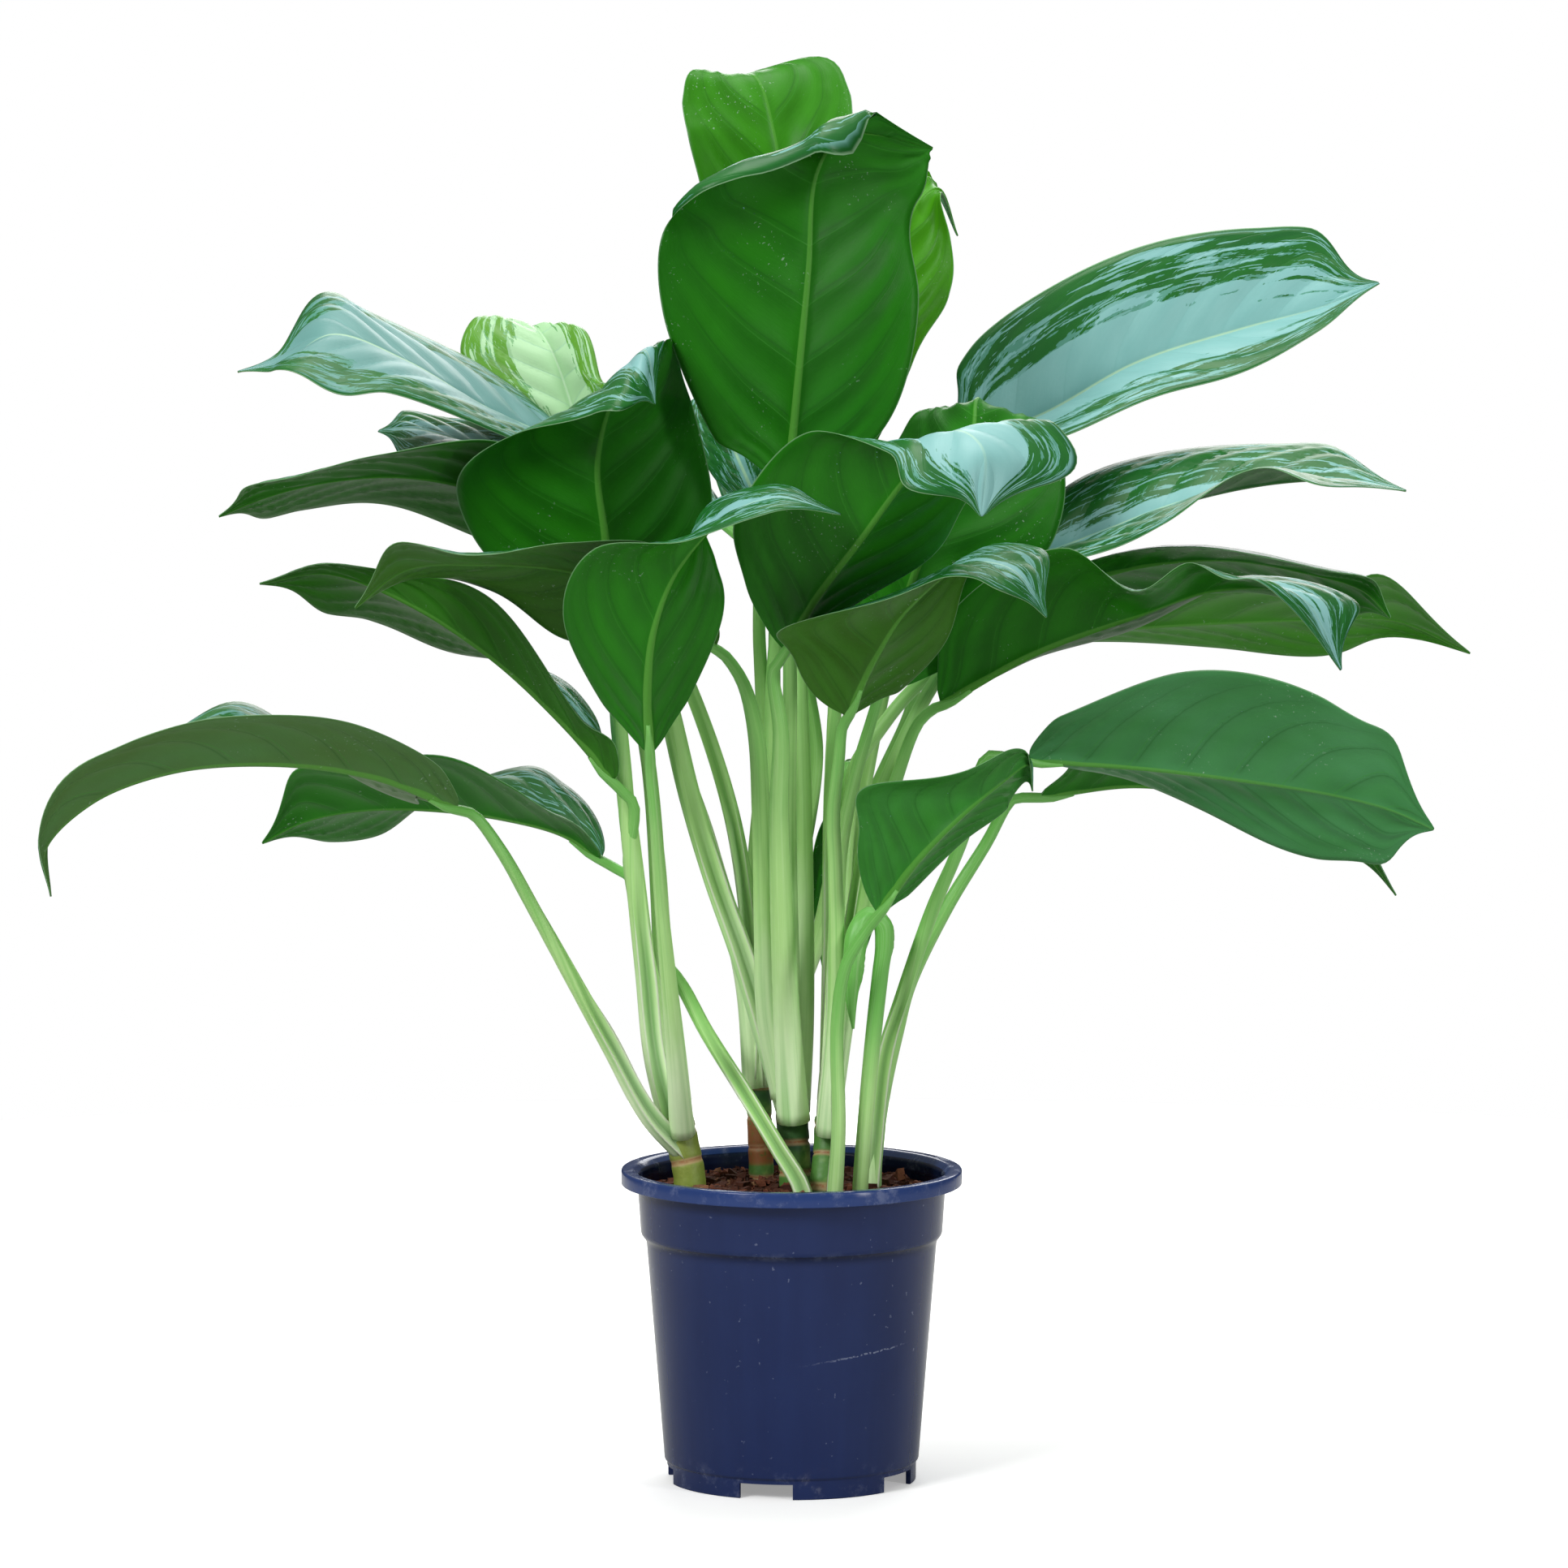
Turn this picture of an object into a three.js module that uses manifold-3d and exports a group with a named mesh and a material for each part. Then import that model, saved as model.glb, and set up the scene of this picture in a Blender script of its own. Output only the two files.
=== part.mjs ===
// A potted Chinese evergreen: broad silver-and-green leaves on long sheathed stalks, rising from a few
// short canes in a round nursery pot.
//
// Millimetres, +Z up, +Y to the back. The origin is on the pot's axis, at the level that the pot stands on.

import * as THREE from "three";
import { mergeVertices } from "three/addons/utils/BufferGeometryUtils.js";
import Module from "manifold-3d";

const wasm = await Module();
wasm.setup();

// ---- driving dimensions -------------------------------------------------------------------------------

const POT_HEIGHT = 175;
const RIM_RADIUS = 95;            // the pot is sold by this size: 19 cm across the rim
const RIM_INNER_RADIUS = 88;
const LIP_HEIGHT = 8.5;
const LIP_THICKNESS = 1.7;
const WALL = 1.7;
const SHOULDER_HEIGHT = 137;      // the step below the straight collar
const SHOULDER_RADIUS = 84;
const BELOW_SHOULDER_RADIUS = 81;
const BODY_FOOT_RADIUS = 71;      // the tapered wall just above the foot
const FOOT_HEIGHT = 11;
const FOOT_RADIUS = 69.5;
const FOOT_WALL = 3;
const FLOOR_UNDERSIDE = 9;
const FLOOR_THICKNESS = 2.5;
const POT_SIDES = 40;
const FOOT_NOTCHES = 5;
const NOTCH_WIDTH = 30;
const NOTCH_HEIGHT = 8.6;
const FIRST_NOTCH_TURN = -102;    // degrees about Z: the notch that faces the front, a little to the left
const DRAIN_HOLES = 5;
const DRAIN_HOLE_RADIUS = 6;
const DRAIN_HOLE_CIRCLE = 50;

const SOIL_LEVEL = 161;
const SOIL_LUMP = 2.2;
const SOIL_SIDES = 36;
const SOIL_RINGS = 5;
const HOLE_DEPTH = 60;            // how deep a cane stands in the soil

const CLEARANCE = 0.3;            // between neighbouring pieces that touch
const BLADE_THICKNESS = 0.8;
const BLADE_ARCH = 3;             // how far each half of a blade bows up between midrib and margin
const KEEL_DEPTH = 2.4;           // the midrib's ridge under the blade, at the stalk
const BLADE_FOOT = 2.4;           // half the width where the blade leaves its stalk
const STALK_TIP_RADIUS = 3;
const STALK_THICK = [6.5, 3.6];   // a stalk's radius at its sheath and where it has grown slim
const STALK_RING_SPACING = 30;
const TURN_IN_SHARE = 0.4;        // the share of a stalk's last stretch in which it turns into the midrib
const TURN_IN_LENGTH = 26;
const STALK_SIDES = 7;
const CANE_SIDES = 12;
const SHORTEST_EDGE = 0.1;        // slivers shorter than this, left where solids join, are closed up

const COLOURS = {
  pot: { color: 0x23284f, roughness: 0.38 },
  soil: { color: 0x3c2219, roughness: 0.95 },
  stem: { color: 0x8fbb62, roughness: 0.5 },
  leaf: { color: 0x2f7d3b, roughness: 0.42 },
};

// ---- the plant ----------------------------------------------------------------------------------------
// Each shoot stands on a foot in the soil. Its cane, where it has one, is a short thick stem that carries
// the stalks. A leaf is its stalk's route, its midrib from the stalk to the tip, and a few cuts across the
// blade: at a share of the midrib's length, where the left and right margins are, seen on the upper face
// from the stalk. Where a margin is rolled over, the cut gives the turn and how far the margin hangs from it.

const SHOOTS = {
  stem_left: {
    foot: [-57, 5],
    footRadius: 9,
    cane: [[-57, 5, 168], [-60, 6, 184], [-64, 8, 204]],
    leaves: {
      leaf_left_low_long: {
        stalk: [[-60, 4, 183], [-79, -8, 205], [-101, -22, 247], [-123, -38, 290], [-142, -50, 327],
          [-160, -62, 361]],
        rib: [[-184, -74, 385], [-227, -112, 406], [-278, -150, 417], [-332, -182, 416], [-374, -202, 401],
          [-398, -208, 376], [-395, -206, 352]],
        cuts: [
          { at: 0.14, left: [-194, -100, 410], right: [-204, -40, 383] },
          { at: 0.34, left: [-238, -150, 438], right: [-251, -68, 408] },
          { at: 0.56, left: [-297, -190, 446], right: [-300, -108, 446] },
          { at: 0.76, left: [-356, -216, 433], right: [-352, -156, 424] },
          { at: 0.9, left: [-398, -218, 394], right: [-393, -186, 394] },
        ],
      },
      leaf_left_broad: {
        thick: [7.5, 4.6],
        stalk: [[-65, 8, 192], [-76, 0, 238], [-81, -6, 285], [-86, -12, 332], [-91, -16, 378],
          [-96, -28, 433]],
        rib: [[-100, -44, 493], [-102, -58, 531], [-106, -66, 574], [-96, -66, 613], [-80, -84, 636],
          [-74, -104, 608]],
        cuts: [
          { at: 0.14, left: [-56, -24, 517], right: [-156, -36, 511] },
          { at: 0.36, left: [-47, -20, 565], right: [-182, -50, 558] },
          { at: 0.6, left: [-55, -20, 600], right: [-148, -92, 591] },
          { at: 0.78, left: [-63, -46, 630], right: [-105, -122, 605] },
          { at: 0.9, left: [-72, -74, 632], right: [-85, -118, 608] },
        ],
      },
      leaf_left_small_front: {
        thick: [7.5, 3],
        stalk: [[-61, 0, 195], [-64, -30, 243], [-68, -58, 291], [-72, -80, 339], [-75, -98, 386]],
        rib: [[-77, -112, 419], [-78, -132, 455], [-74, -146, 490], [-61, -156, 523], [-35, -166, 552],
          [-7, -174, 562], [26, -180, 554]],
        cuts: [
          { at: 0.1, left: [-61, -104, 439], right: [-96, -104, 436] },
          { at: 0.28, left: [-39, -124, 494], right: [-121, -134, 491] },
          { at: 0.46, left: [-42, -128, 525], right: [-104, -176, 535] },
          { at: 0.64, left: [-45, -134, 555], right: [-54, -200, 542] },
          { at: 0.85, left: [0, -158, 567], right: [-9, -196, 557] },
        ],
      },
      leaf_left_arch: {
        stalk: [[-67, 12, 196], [-75, 6, 251], [-82, 0, 302], [-90, -12, 349]],
        rib: [[-99, -30, 396], [-122, -46, 425], [-161, -64, 464], [-210, -80, 498], [-253, -90, 515],
          [-289, -96, 510]],
        cuts: [
          { at: 0.08, left: [-98, -46, 414], right: [-103, -10, 416] },
          { at: 0.2, left: [-116, -64, 432], right: [-124, -6, 446] },
          { at: 0.45, left: [-165, -92, 501], right: [-186, -20, 465] },
          { at: 0.7, left: [-221, -92, 516], right: [-233, -34, 485] },
          { at: 0.88, left: [-263, -108, 520], right: [-267, -74, 501] },
        ],
      },
      leaf_left_mid: {
        stalk: [[-66, 10, 198], [-71, 10, 260], [-74, 4, 329], [-79, -2, 398], [-90, -8, 466]],
        rib: [[-111, -16, 521], [-163, -34, 553], [-211, -52, 565], [-255, -66, 563], [-288, -74, 555],
          [-312, -78, 545]],
        cuts: [
          { at: 0.22, left: [-149, -52, 577], right: [-160, 14, 522] },
          { at: 0.48, left: [-222, -96, 580], right: [-222, -4, 546] },
          { at: 0.72, left: [-271, -104, 568], right: [-269, -28, 545] },
          { at: 0.88, left: [-300, -92, 558], right: [-296, -54, 544] },
        ],
      },
    },
  },
  stem_centre: {
    foot: [2, 8],
    footRadius: 9,
    cane: [[2, 8, 168], [1, 10, 186], [0, 12, 208]],
    leaves: {
      leaf_centre_front: {
        thick: [9.5, 4.8],
        stalk: [[1, 4, 201], [-2, -6, 248], [-5, -26, 310], [-7, -48, 380], [-6, -66, 427]],
        rib: [[-3, -84, 473], [13, -112, 503], [38, -142, 539], [62, -172, 574], [86, -200, 600],
          [101, -222, 591], [100, -232, 557]],
        cuts: [
          { at: 0.12, left: [24, -90, 491], right: [-22, -98, 503] },
          { at: 0.32, left: [72, -110, 524], right: [-29, -120, 547] },
          { at: 0.55, left: [98, -150, 566], right: [11, -160, 596] },
          { at: 0.74, left: [136, -176, 604], right: [53, -216, 589] },
          { at: 0.9, left: [131, -206, 571], right: [81, -236, 568] },
        ],
      },
      leaf_crown_front: {
        stalk: [[-1, 8, 205], [-1, 4, 283], [-2, -8, 375], [-1, -30, 458]],
        rib: [[-2, -58, 561], [4, -70, 625], [9, -74, 679], [13, -72, 730], [25, -62, 750], [46, -42, 751],
          [77, -16, 743]],
        cuts: [
          { at: 0.15, left: [46, -50, 588], right: [-41, -50, 586] },
          { at: 0.38, left: [67, -54, 650], right: [-69, -56, 656] },
          { at: 0.55, left: [65, -50, 684], right: [-69, -74, 698] },
          { at: 0.66, left: [64, -44, 704], right: [-52, -90, 724], rightRoll: [2, -10, -4] },
          { at: 0.76, left: [70, -36, 718], right: [-20, -90, 741], rightRoll: [2, -11, -9] },
          { at: 0.84, left: [74, -28, 730], right: [11, -78, 754], rightRoll: [0, -12, -11] },
          { at: 0.9, left: [75, -22, 736], right: [28, -64, 762], rightRoll: [5, -16, -20] },
          { at: 0.93, left: [76, -20, 739], right: [46, -48, 763] },
        ],
      },
      leaf_left_strip: {
        thick: [8, 4.6],
        stalk: [[-4, 10, 214], [-13, 2, 261], [-15, -8, 308], [-17, -24, 377], [-20, -38, 424],
          [-27, -50, 452]],
        rib: [[-43, -58, 472], [-78, -86, 502], [-121, -106, 518], [-169, -126, 523], [-208, -140, 521],
          [-235, -146, 501]],
        cuts: [
          { at: 0.18, left: [-64, -98, 522], right: [-82, -56, 470] },
          { at: 0.42, left: [-120, -160, 537], right: [-127, -72, 480] },
          { at: 0.68, left: [-176, -178, 532], right: [-166, -90, 507] },
          { at: 0.88, left: [-220, -170, 529], right: [-210, -116, 513] },
        ],
      },
      leaf_left_silver: {
        thick: [8, 5.4],
        stalk: [[2, 14, 195], [-12, 16, 241], [-27, 16, 291], [-43, 18, 336], [-57, 20, 382],
          [-70, 24, 436],
          [-93, 30, 508]],
        rib: [[-122, 34, 576], [-169, 20, 598], [-213, 4, 625], [-253, -8, 640], [-279, -20, 626],
          [-304, -30, 621]],
        cuts: [
          { at: 0.25, left: [-163, -16, 587], right: [-171, 70, 616] },
          { at: 0.48, left: [-220, -48, 611], right: [-236, 58, 649] },
          { at: 0.68, left: [-255, -60, 614], right: [-261, 44, 660] },
          { at: 0.86, left: [-285, -44, 622], right: [-283, 4, 630] },
        ],
      },
      leaf_crown_back: {
        stalk: [[4, 20, 204], [7, 24, 258], [7, 32, 372], [5, 38, 439], [3, 44, 507]],
        rib: [[2, 52, 571], [0, 68, 642], [-4, 76, 705], [-10, 82, 748], [-20, 98, 778], [-38, 124, 776]],
        cuts: [
          { at: 0.25, left: [42, 64, 611], right: [-43, 64, 611] },
          { at: 0.5, left: [42, 68, 694], right: [-47, 68, 703] },
          { at: 0.7, left: [34, 72, 750], right: [-57, 72, 748] },
          { at: 0.82, left: [31, 88, 772], right: [-60, 84, 768] },
          { at: 0.92, left: [-2, 112, 787], right: [-48, 104, 782] },
        ],
      },
    },
  },
  stem_back: {
    foot: [-17, 38],
    footRadius: 7,
    cane: [[-17, 38, 168], [-18, 39, 192], [-18, 40, 222]],
    leaves: {
      leaf_left_bright: {
        stalk: [[-18, 38, 215], [-21, 42, 279], [-34, 52, 369], [-66, 58, 460]],
        rib: [[-115, 72, 563], [-124, 88, 596], [-136, 104, 627], [-147, 128, 637], [-155, 160, 623]],
        cuts: [
          { at: 0.25, left: [-159, 84, 594], right: [-98, 64, 602] },
          { at: 0.5, left: [-185, 104, 623], right: [-108, 76, 610] },
          { at: 0.75, left: [-176, 130, 642], right: [-123, 108, 638] },
        ],
      },
      leaf_left_shaded: {
        stalk: [[-21, 36, 215], [-27, 38, 279], [-52, 46, 370], [-84, 54, 461], [-107, 40, 508]],
        rib: [[-119, 16, 549], [-156, 36, 568], [-191, 56, 579], [-214, 70, 583], [-232, 80, 581]],
        cuts: [
          { at: 0.3, left: [-150, -6, 560], right: [-153, 62, 582] },
          { at: 0.6, left: [-191, 16, 570], right: [-199, 94, 588] },
          { at: 0.85, left: [-220, 52, 572], right: [-222, 96, 589] },
        ],
      },
      leaf_inner: {
        stalk: [[-17, 36, 220], [-14, 40, 324], [-11, 38, 438]],
        rib: [[-18, 34, 542], [-27, 34, 562], [-36, 38, 582], [-44, 44, 598], [-50, 52, 606]],
        cuts: [
          { at: 0.35, left: [-46, 28, 566], right: [-10, 34, 574] },
          { at: 0.7, left: [-58, 38, 594], right: [-28, 44, 602] },
        ],
      },
      leaf_back_left: {
        stalk: [[-18, 44, 219], [-21, 58, 322], [-16, 66, 400], [-18, 68, 462]],
        rib: [[-38, 72, 530], [-74, 100, 562], [-102, 146, 582], [-122, 194, 578], [-134, 236, 552]],
        cuts: [
          { at: 0.35, left: [-120, 92, 566], right: [-66, 144, 566] },
          { at: 0.7, left: [-146, 164, 580], right: [-94, 204, 582] },
        ],
      },
      leaf_back_centre: {
        stalk: [[-16, 46, 218], [-12, 64, 322], [-10, 70, 420]],
        rib: [[-8, 74, 500], [-4, 112, 560], [0, 160, 600], [2, 206, 604], [2, 238, 580]],
        cuts: [
          { at: 0.35, left: [-48, 126, 588], right: [46, 126, 588] },
          { at: 0.7, left: [-36, 188, 612], right: [38, 188, 612] },
        ],
      },
      leaf_back_right: {
        stalk: [[-15, 42, 219], [2, 62, 322], [14, 62, 400]],
        rib: [[22, 64, 474], [62, 100, 530], [96, 146, 560], [120, 196, 558], [132, 236, 530]],
        cuts: [
          { at: 0.35, left: [34, 144, 549], right: [118, 92, 549] },
          { at: 0.7, left: [84, 204, 564], right: [146, 164, 564] },
        ],
      },
      leaf_back_low: {
        stalk: [[-14, 42, 214], [2, 58, 262], [16, 62, 300]],
        rib: [[32, 62, 375], [31, 76, 339], [29, 86, 301], [25, 92, 251]],
        cuts: [
          { at: 0.3, left: [14, 66, 345], right: [50, 66, 345] },
          { at: 0.65, left: [15, 78, 297], right: [44, 78, 297] },
        ],
      },
    },
  },
  stem_right: {
    foot: [18, -8],
    footRadius: 8,
    cane: [[18, -8, 169], [20, -2, 184], [21, 4, 204]],
    leaves: {
      leaf_centre_low: {
        stalk: [[20, -12, 195], [25, -22, 269], [24, -38, 347], [23, -44, 379], [26, -54, 410]],
        rib: [[31, -62, 435], [45, -84, 468], [64, -108, 499], [94, -126, 523], [120, -142, 520],
          [137, -146, 496]],
        cuts: [
          { at: 0.13, left: [56, -50, 445], right: [4, -88, 466] },
          { at: 0.3, left: [83, -60, 475], right: [-5, -126, 487] },
          { at: 0.52, left: [98, -66, 516], right: [54, -162, 508] },
          { at: 0.75, left: [126, -96, 531], right: [97, -164, 519] },
          { at: 0.9, left: [138, -118, 515], right: [123, -156, 507] },
        ],
      },
      leaf_centre_right: {
        stalk: [[21, -6, 199], [24, -9, 285], [27, -16, 354], [36, -22, 400]],
        rib: [[49, -30, 446], [68, -42, 512], [86, -44, 551], [99, -36, 585], [102, -14, 605],
          [112, 20, 590]],
        cuts: [
          { at: 0.2, left: [101, -20, 472], right: [29, -10, 493] },
          { at: 0.45, left: [139, -20, 521], right: [34, -20, 548] },
          { at: 0.7, left: [149, -14, 568], right: [60, -14, 583] },
          { at: 0.86, left: [132, 0, 594], right: [82, 0, 599] },
        ],
      },
      leaf_right_arch: {
        stalk: [[21, -2, 202], [34, -4, 285], [49, -8, 358], [58, -12, 394], [70, -18, 426]],
        rib: [[83, -24, 437], [133, -48, 467], [184, -66, 488], [232, -80, 505], [276, -88, 502],
          [299, -88, 462]],
        cuts: [
          { at: 0.2, left: [128, 12, 456], right: [90, -40, 489] },
          { at: 0.41, left: [186, 2, 475], right: [149, -82, 527] },
          { at: 0.53, left: [222, -20, 495], right: [186, -116, 507] },
          { at: 0.65, left: [252, -36, 508], right: [216, -100, 521] },
          { at: 0.76, left: [286, -46, 506], right: [238, -110, 513] },
          { at: 0.86, left: [310, -58, 490], right: [262, -112, 506] },
        ],
      },
      leaf_right_behind: {
        stalk: [[21, 8, 199], [26, 14, 282], [31, 22, 364], [36, 26, 398], [48, 30, 416], [66, 34, 438],
          [93, 38, 460]],
        rib: [[133, 34, 488], [188, 40, 507], [242, 40, 512], [287, 34, 505], [318, 26, 496],
          [333, 20, 481]],
        cuts: [
          { at: 0.25, left: [194, 84, 482], right: [169, 26, 512] },
          { at: 0.5, left: [240, 84, 490], right: [224, -4, 522] },
          { at: 0.75, left: [285, 72, 485], right: [299, 4, 508] },
          { at: 0.9, left: [316, 44, 481], right: [326, 14, 498] },
        ],
      },
      leaf_right_far: {
        stalk: [[21, 12, 195], [29, 30, 280], [43, 54, 369], [66, 74, 422]],
        rib: [[94, 90, 461], [164, 128, 464], [235, 166, 465], [302, 202, 464], [351, 226, 461],
          [394, 240, 441]],
        cuts: [
          { at: 0.25, left: [165, 170, 454], right: [162, 80, 490] },
          { at: 0.5, left: [246, 214, 447], right: [241, 118, 493] },
          { at: 0.75, left: [318, 236, 442], right: [313, 160, 485] },
          { at: 0.9, left: [359, 240, 450], right: [359, 198, 475] },
        ],
      },
      leaf_right_second: {
        stalk: [[21, 4, 199], [31, 0, 284], [47, -2, 375], [74, 2, 438], [103, 10, 480]],
        rib: [[129, 20, 512], [173, 22, 529], [218, 20, 546], [267, 10, 557], [307, 0, 559],
          [339, -10, 554]],
        cuts: [
          { at: 0.2, left: [152, 50, 549], right: [165, -14, 519] },
          { at: 0.45, left: [207, 66, 569], right: [207, -32, 539] },
          { at: 0.7, left: [272, 56, 575], right: [260, -44, 569] },
          { at: 0.88, left: [314, 26, 568], right: [305, -36, 558] },
        ],
      },
      leaf_right_upper: {
        stalk: [[22, 14, 194], [28, 30, 280], [38, 44, 370], [57, 56, 460], [79, 64, 532]],
        rib: [[93, 70, 572], [143, 84, 591], [194, 98, 618], [254, 116, 636], [301, 128, 648],
          [333, 136, 661]],
        cuts: [
          { at: 0.2, left: [102, 90, 626], right: [146, 30, 580] },
          { at: 0.45, left: [183, 118, 676], right: [204, 50, 603] },
          { at: 0.7, left: [262, 140, 691], right: [266, 72, 621] },
          { at: 0.88, left: [311, 146, 676], right: [311, 108, 647] },
        ],
      },
      leaf_crown_right: {
        stalk: [[21, 10, 197], [22, 16, 282], [22, 20, 373], [25, 20, 463]],
        rib: [[31, 20, 561], [48, 36, 620], [58, 46, 668], [68, 58, 706], [82, 74, 717], [93, 94, 690]],
        cuts: [
          { at: 0.25, left: [66, 26, 624], right: [18, 18, 610] },
          { at: 0.5, left: [86, 34, 660], right: [24, 40, 672] },
          { at: 0.7, left: [87, 46, 692], right: [44, 62, 716] },
          { at: 0.86, left: [85, 62, 714], right: [76, 86, 727] },
        ],
      },
    },
  },
  stem_low_left: {
    foot: [7, -24],
    footRadius: 6,
    leaves: {
      leaf_left_low: {
        thick: [5.6, 3.6],
        stalk: [[6, -24, 166], [-7, -18, 188], [-25, -4, 216], [-48, 10, 251], [-62, 18, 276],
          [-84, 22, 304]],
        rib: [[-106, 6, 348], [-126, 9, 361], [-158, 16, 369], [-202, 28, 373], [-243, 40, 371],
          [-275, 50, 363], [-297, 54, 351]],
        cuts: [
          { at: 0.18, left: [-128, -22, 374], right: [-126, 46, 383] },
          { at: 0.32, left: [-156, -28, 392], right: [-150, 60, 393] },
          { at: 0.5, left: [-195, -24, 408], right: [-204, 72, 373] },
          { at: 0.68, left: [-245, -4, 401], right: [-236, 80, 352] },
          { at: 0.86, left: [-282, 26, 385], right: [-272, 78, 351] },
        ],
      },
    },
  },
  stem_small: {
    foot: [24, -36],
    footRadius: 5,
    leaves: {
      leaf_small_fold: {
        thick: [4.6, 3.4],
        stalk: [[24, -36, 162], [26, -38, 205], [25, -44, 261], [30, -53, 296]],
        rib: [[48, -66, 326], [68, -84, 356], [90, -92, 380], [115, -88, 401], [130, -76, 409],
          [132, -70, 394]],
        cuts: [
          { at: 0.2, left: [68, -60, 340], right: [38, -72, 367] },
          { at: 0.45, left: [95, -66, 367], right: [41, -90, 397] },
          { at: 0.7, left: [117, -70, 384], right: [94, -108, 408] },
          { at: 0.88, left: [126, -66, 397], right: [127, -88, 417] },
        ],
      },
    },
  },
  stem_low_right: {
    foot: [44, 6],
    footRadius: 6,
    leaves: {
      leaf_right_low_front: {
        thick: [5.6, 3.6],
        stalk: [[44, 6, 162], [47, 4, 192], [52, 0, 238], [62, -6, 273], [78, -16, 322], [94, -25, 362]],
        rib: [[131, -40, 408], [189, -62, 406], [244, -78, 401], [294, -88, 394], [326, -92, 386],
          [350, -90, 375]],
        cuts: [
          { at: 0.15, left: [164, -14, 399], right: [148, -72, 434] },
          { at: 0.42, left: [225, -40, 381], right: [214, -110, 462] },
          { at: 0.7, left: [289, -60, 356], right: [285, -118, 450] },
          { at: 0.8, left: [312, -66, 355], right: [311, -112, 435] },
          { at: 0.88, left: [330, -76, 360], right: [331, -102, 416] },
        ],
      },
      leaf_right_low_behind: {
        stalk: [[45, 8, 180], [50, 12, 215], [58, 14, 250], [65, 14, 276], [86, 14, 319], [108, 14, 355]],
        rib: [[138, 14, 382], [193, 34, 386], [248, 52, 376], [294, 66, 361], [325, 74, 341],
          [341, 76, 319]],
        cuts: [
          { at: 0.25, left: [185, 74, 382], right: [177, -8, 410] },
          { at: 0.5, left: [246, 104, 368], right: [236, 6, 406] },
          { at: 0.75, left: [292, 104, 349], right: [294, 30, 383] },
        ],
      },
    },
  },
};

// The youngest leaf is still rolled up: one piece with its stalk, thick where the roll is and hooked over.
const SPROUT = {
  foot: [38, -22],
  footRadius: 4.6,
  route: [[38, -22, 164], [41, -25, 206], [45, -28, 251], [49, -30, 288], [50, -31, 308], [44, -32, 319],
    [36, -33, 312], [33, -34, 292], [34, -35, 264]],
  radii: [4.6, 4.5, 4.5, 5, 5.5, 5.5, 5, 3.6, 1],
};

// ---- solids -------------------------------------------------------------------------------------------

function solidOf(geometry) {
  const bare = geometry.clone();
  for (const name of Object.keys(bare.attributes)) {
    if (name !== "position") bare.deleteAttribute(name);
  }
  const merged = mergeVertices(bare, 1e-4);
  return new wasm.Manifold(new wasm.Mesh({
    numProp: 3,
    vertProperties: new Float32Array(merged.attributes.position.array),
    triVerts: new Uint32Array(merged.index.array),
  }));
}

// Joined solids leave slivers where they cross: points closer together than SHORTEST_EDGE become one.
function withoutSlivers(solid) {
  const { vertProperties, triVerts } = solid.getMesh();
  const kept = Array.from({ length: vertProperties.length / 3 }, (_, i) => i);
  const keeper = (i) => {
    let root = i;
    while (kept[root] !== root) root = kept[root];
    return root;
  };
  const point = (i) => new THREE.Vector3().fromArray(vertProperties, 3 * i);
  for (let i = 0; i < triVerts.length; i += 1) {
    const next = i % 3 === 2 ? i - 2 : i + 1;
    const [a, b] = [keeper(triVerts[i]), keeper(triVerts[next])];
    if (a !== b && point(a).distanceTo(point(b)) < SHORTEST_EDGE) kept[b] = a;
  }
  const triangles = [];
  for (let i = 0; i < triVerts.length; i += 3) {
    const [a, b, c] = [keeper(triVerts[i]), keeper(triVerts[i + 1]), keeper(triVerts[i + 2])];
    if (a !== b && b !== c && c !== a) triangles.push(a, b, c);
  }
  const geometry = new THREE.BufferGeometry();
  geometry.setAttribute("position", new THREE.BufferAttribute(vertProperties, 3));
  geometry.setIndex(triangles);
  return solidOf(geometry).simplify(SHORTEST_EDGE);
}

function geometryOf(solid) {
  const mesh = withoutSlivers(solid).getMesh();
  const geometry = new THREE.BufferGeometry();
  geometry.setAttribute("position", new THREE.BufferAttribute(new Float32Array(mesh.vertProperties), 3));
  geometry.setIndex(new THREE.BufferAttribute(new Uint32Array(mesh.triVerts), 1));
  return geometry;
}

function pieceFrom(name, geometry, look) {
  geometry.computeVertexNormals();
  const material = new THREE.MeshStandardMaterial({ ...look, metalness: 0, flatShading: true });
  const mesh = new THREE.Mesh(geometry, material);
  mesh.name = name;
  return mesh;
}

function indexed(points, triangles) {
  const geometry = new THREE.BufferGeometry();
  geometry.setAttribute("position", new THREE.Float32BufferAttribute(points.flatMap((p) => p.toArray()), 3));
  geometry.setIndex(triangles.flat());
  return geometry;
}

const vector = (p) => new THREE.Vector3(p[0], p[1], p[2]);
const curveThrough = (points) => new THREE.CatmullRomCurve3(points.map(vector), false, "centripetal");

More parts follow.
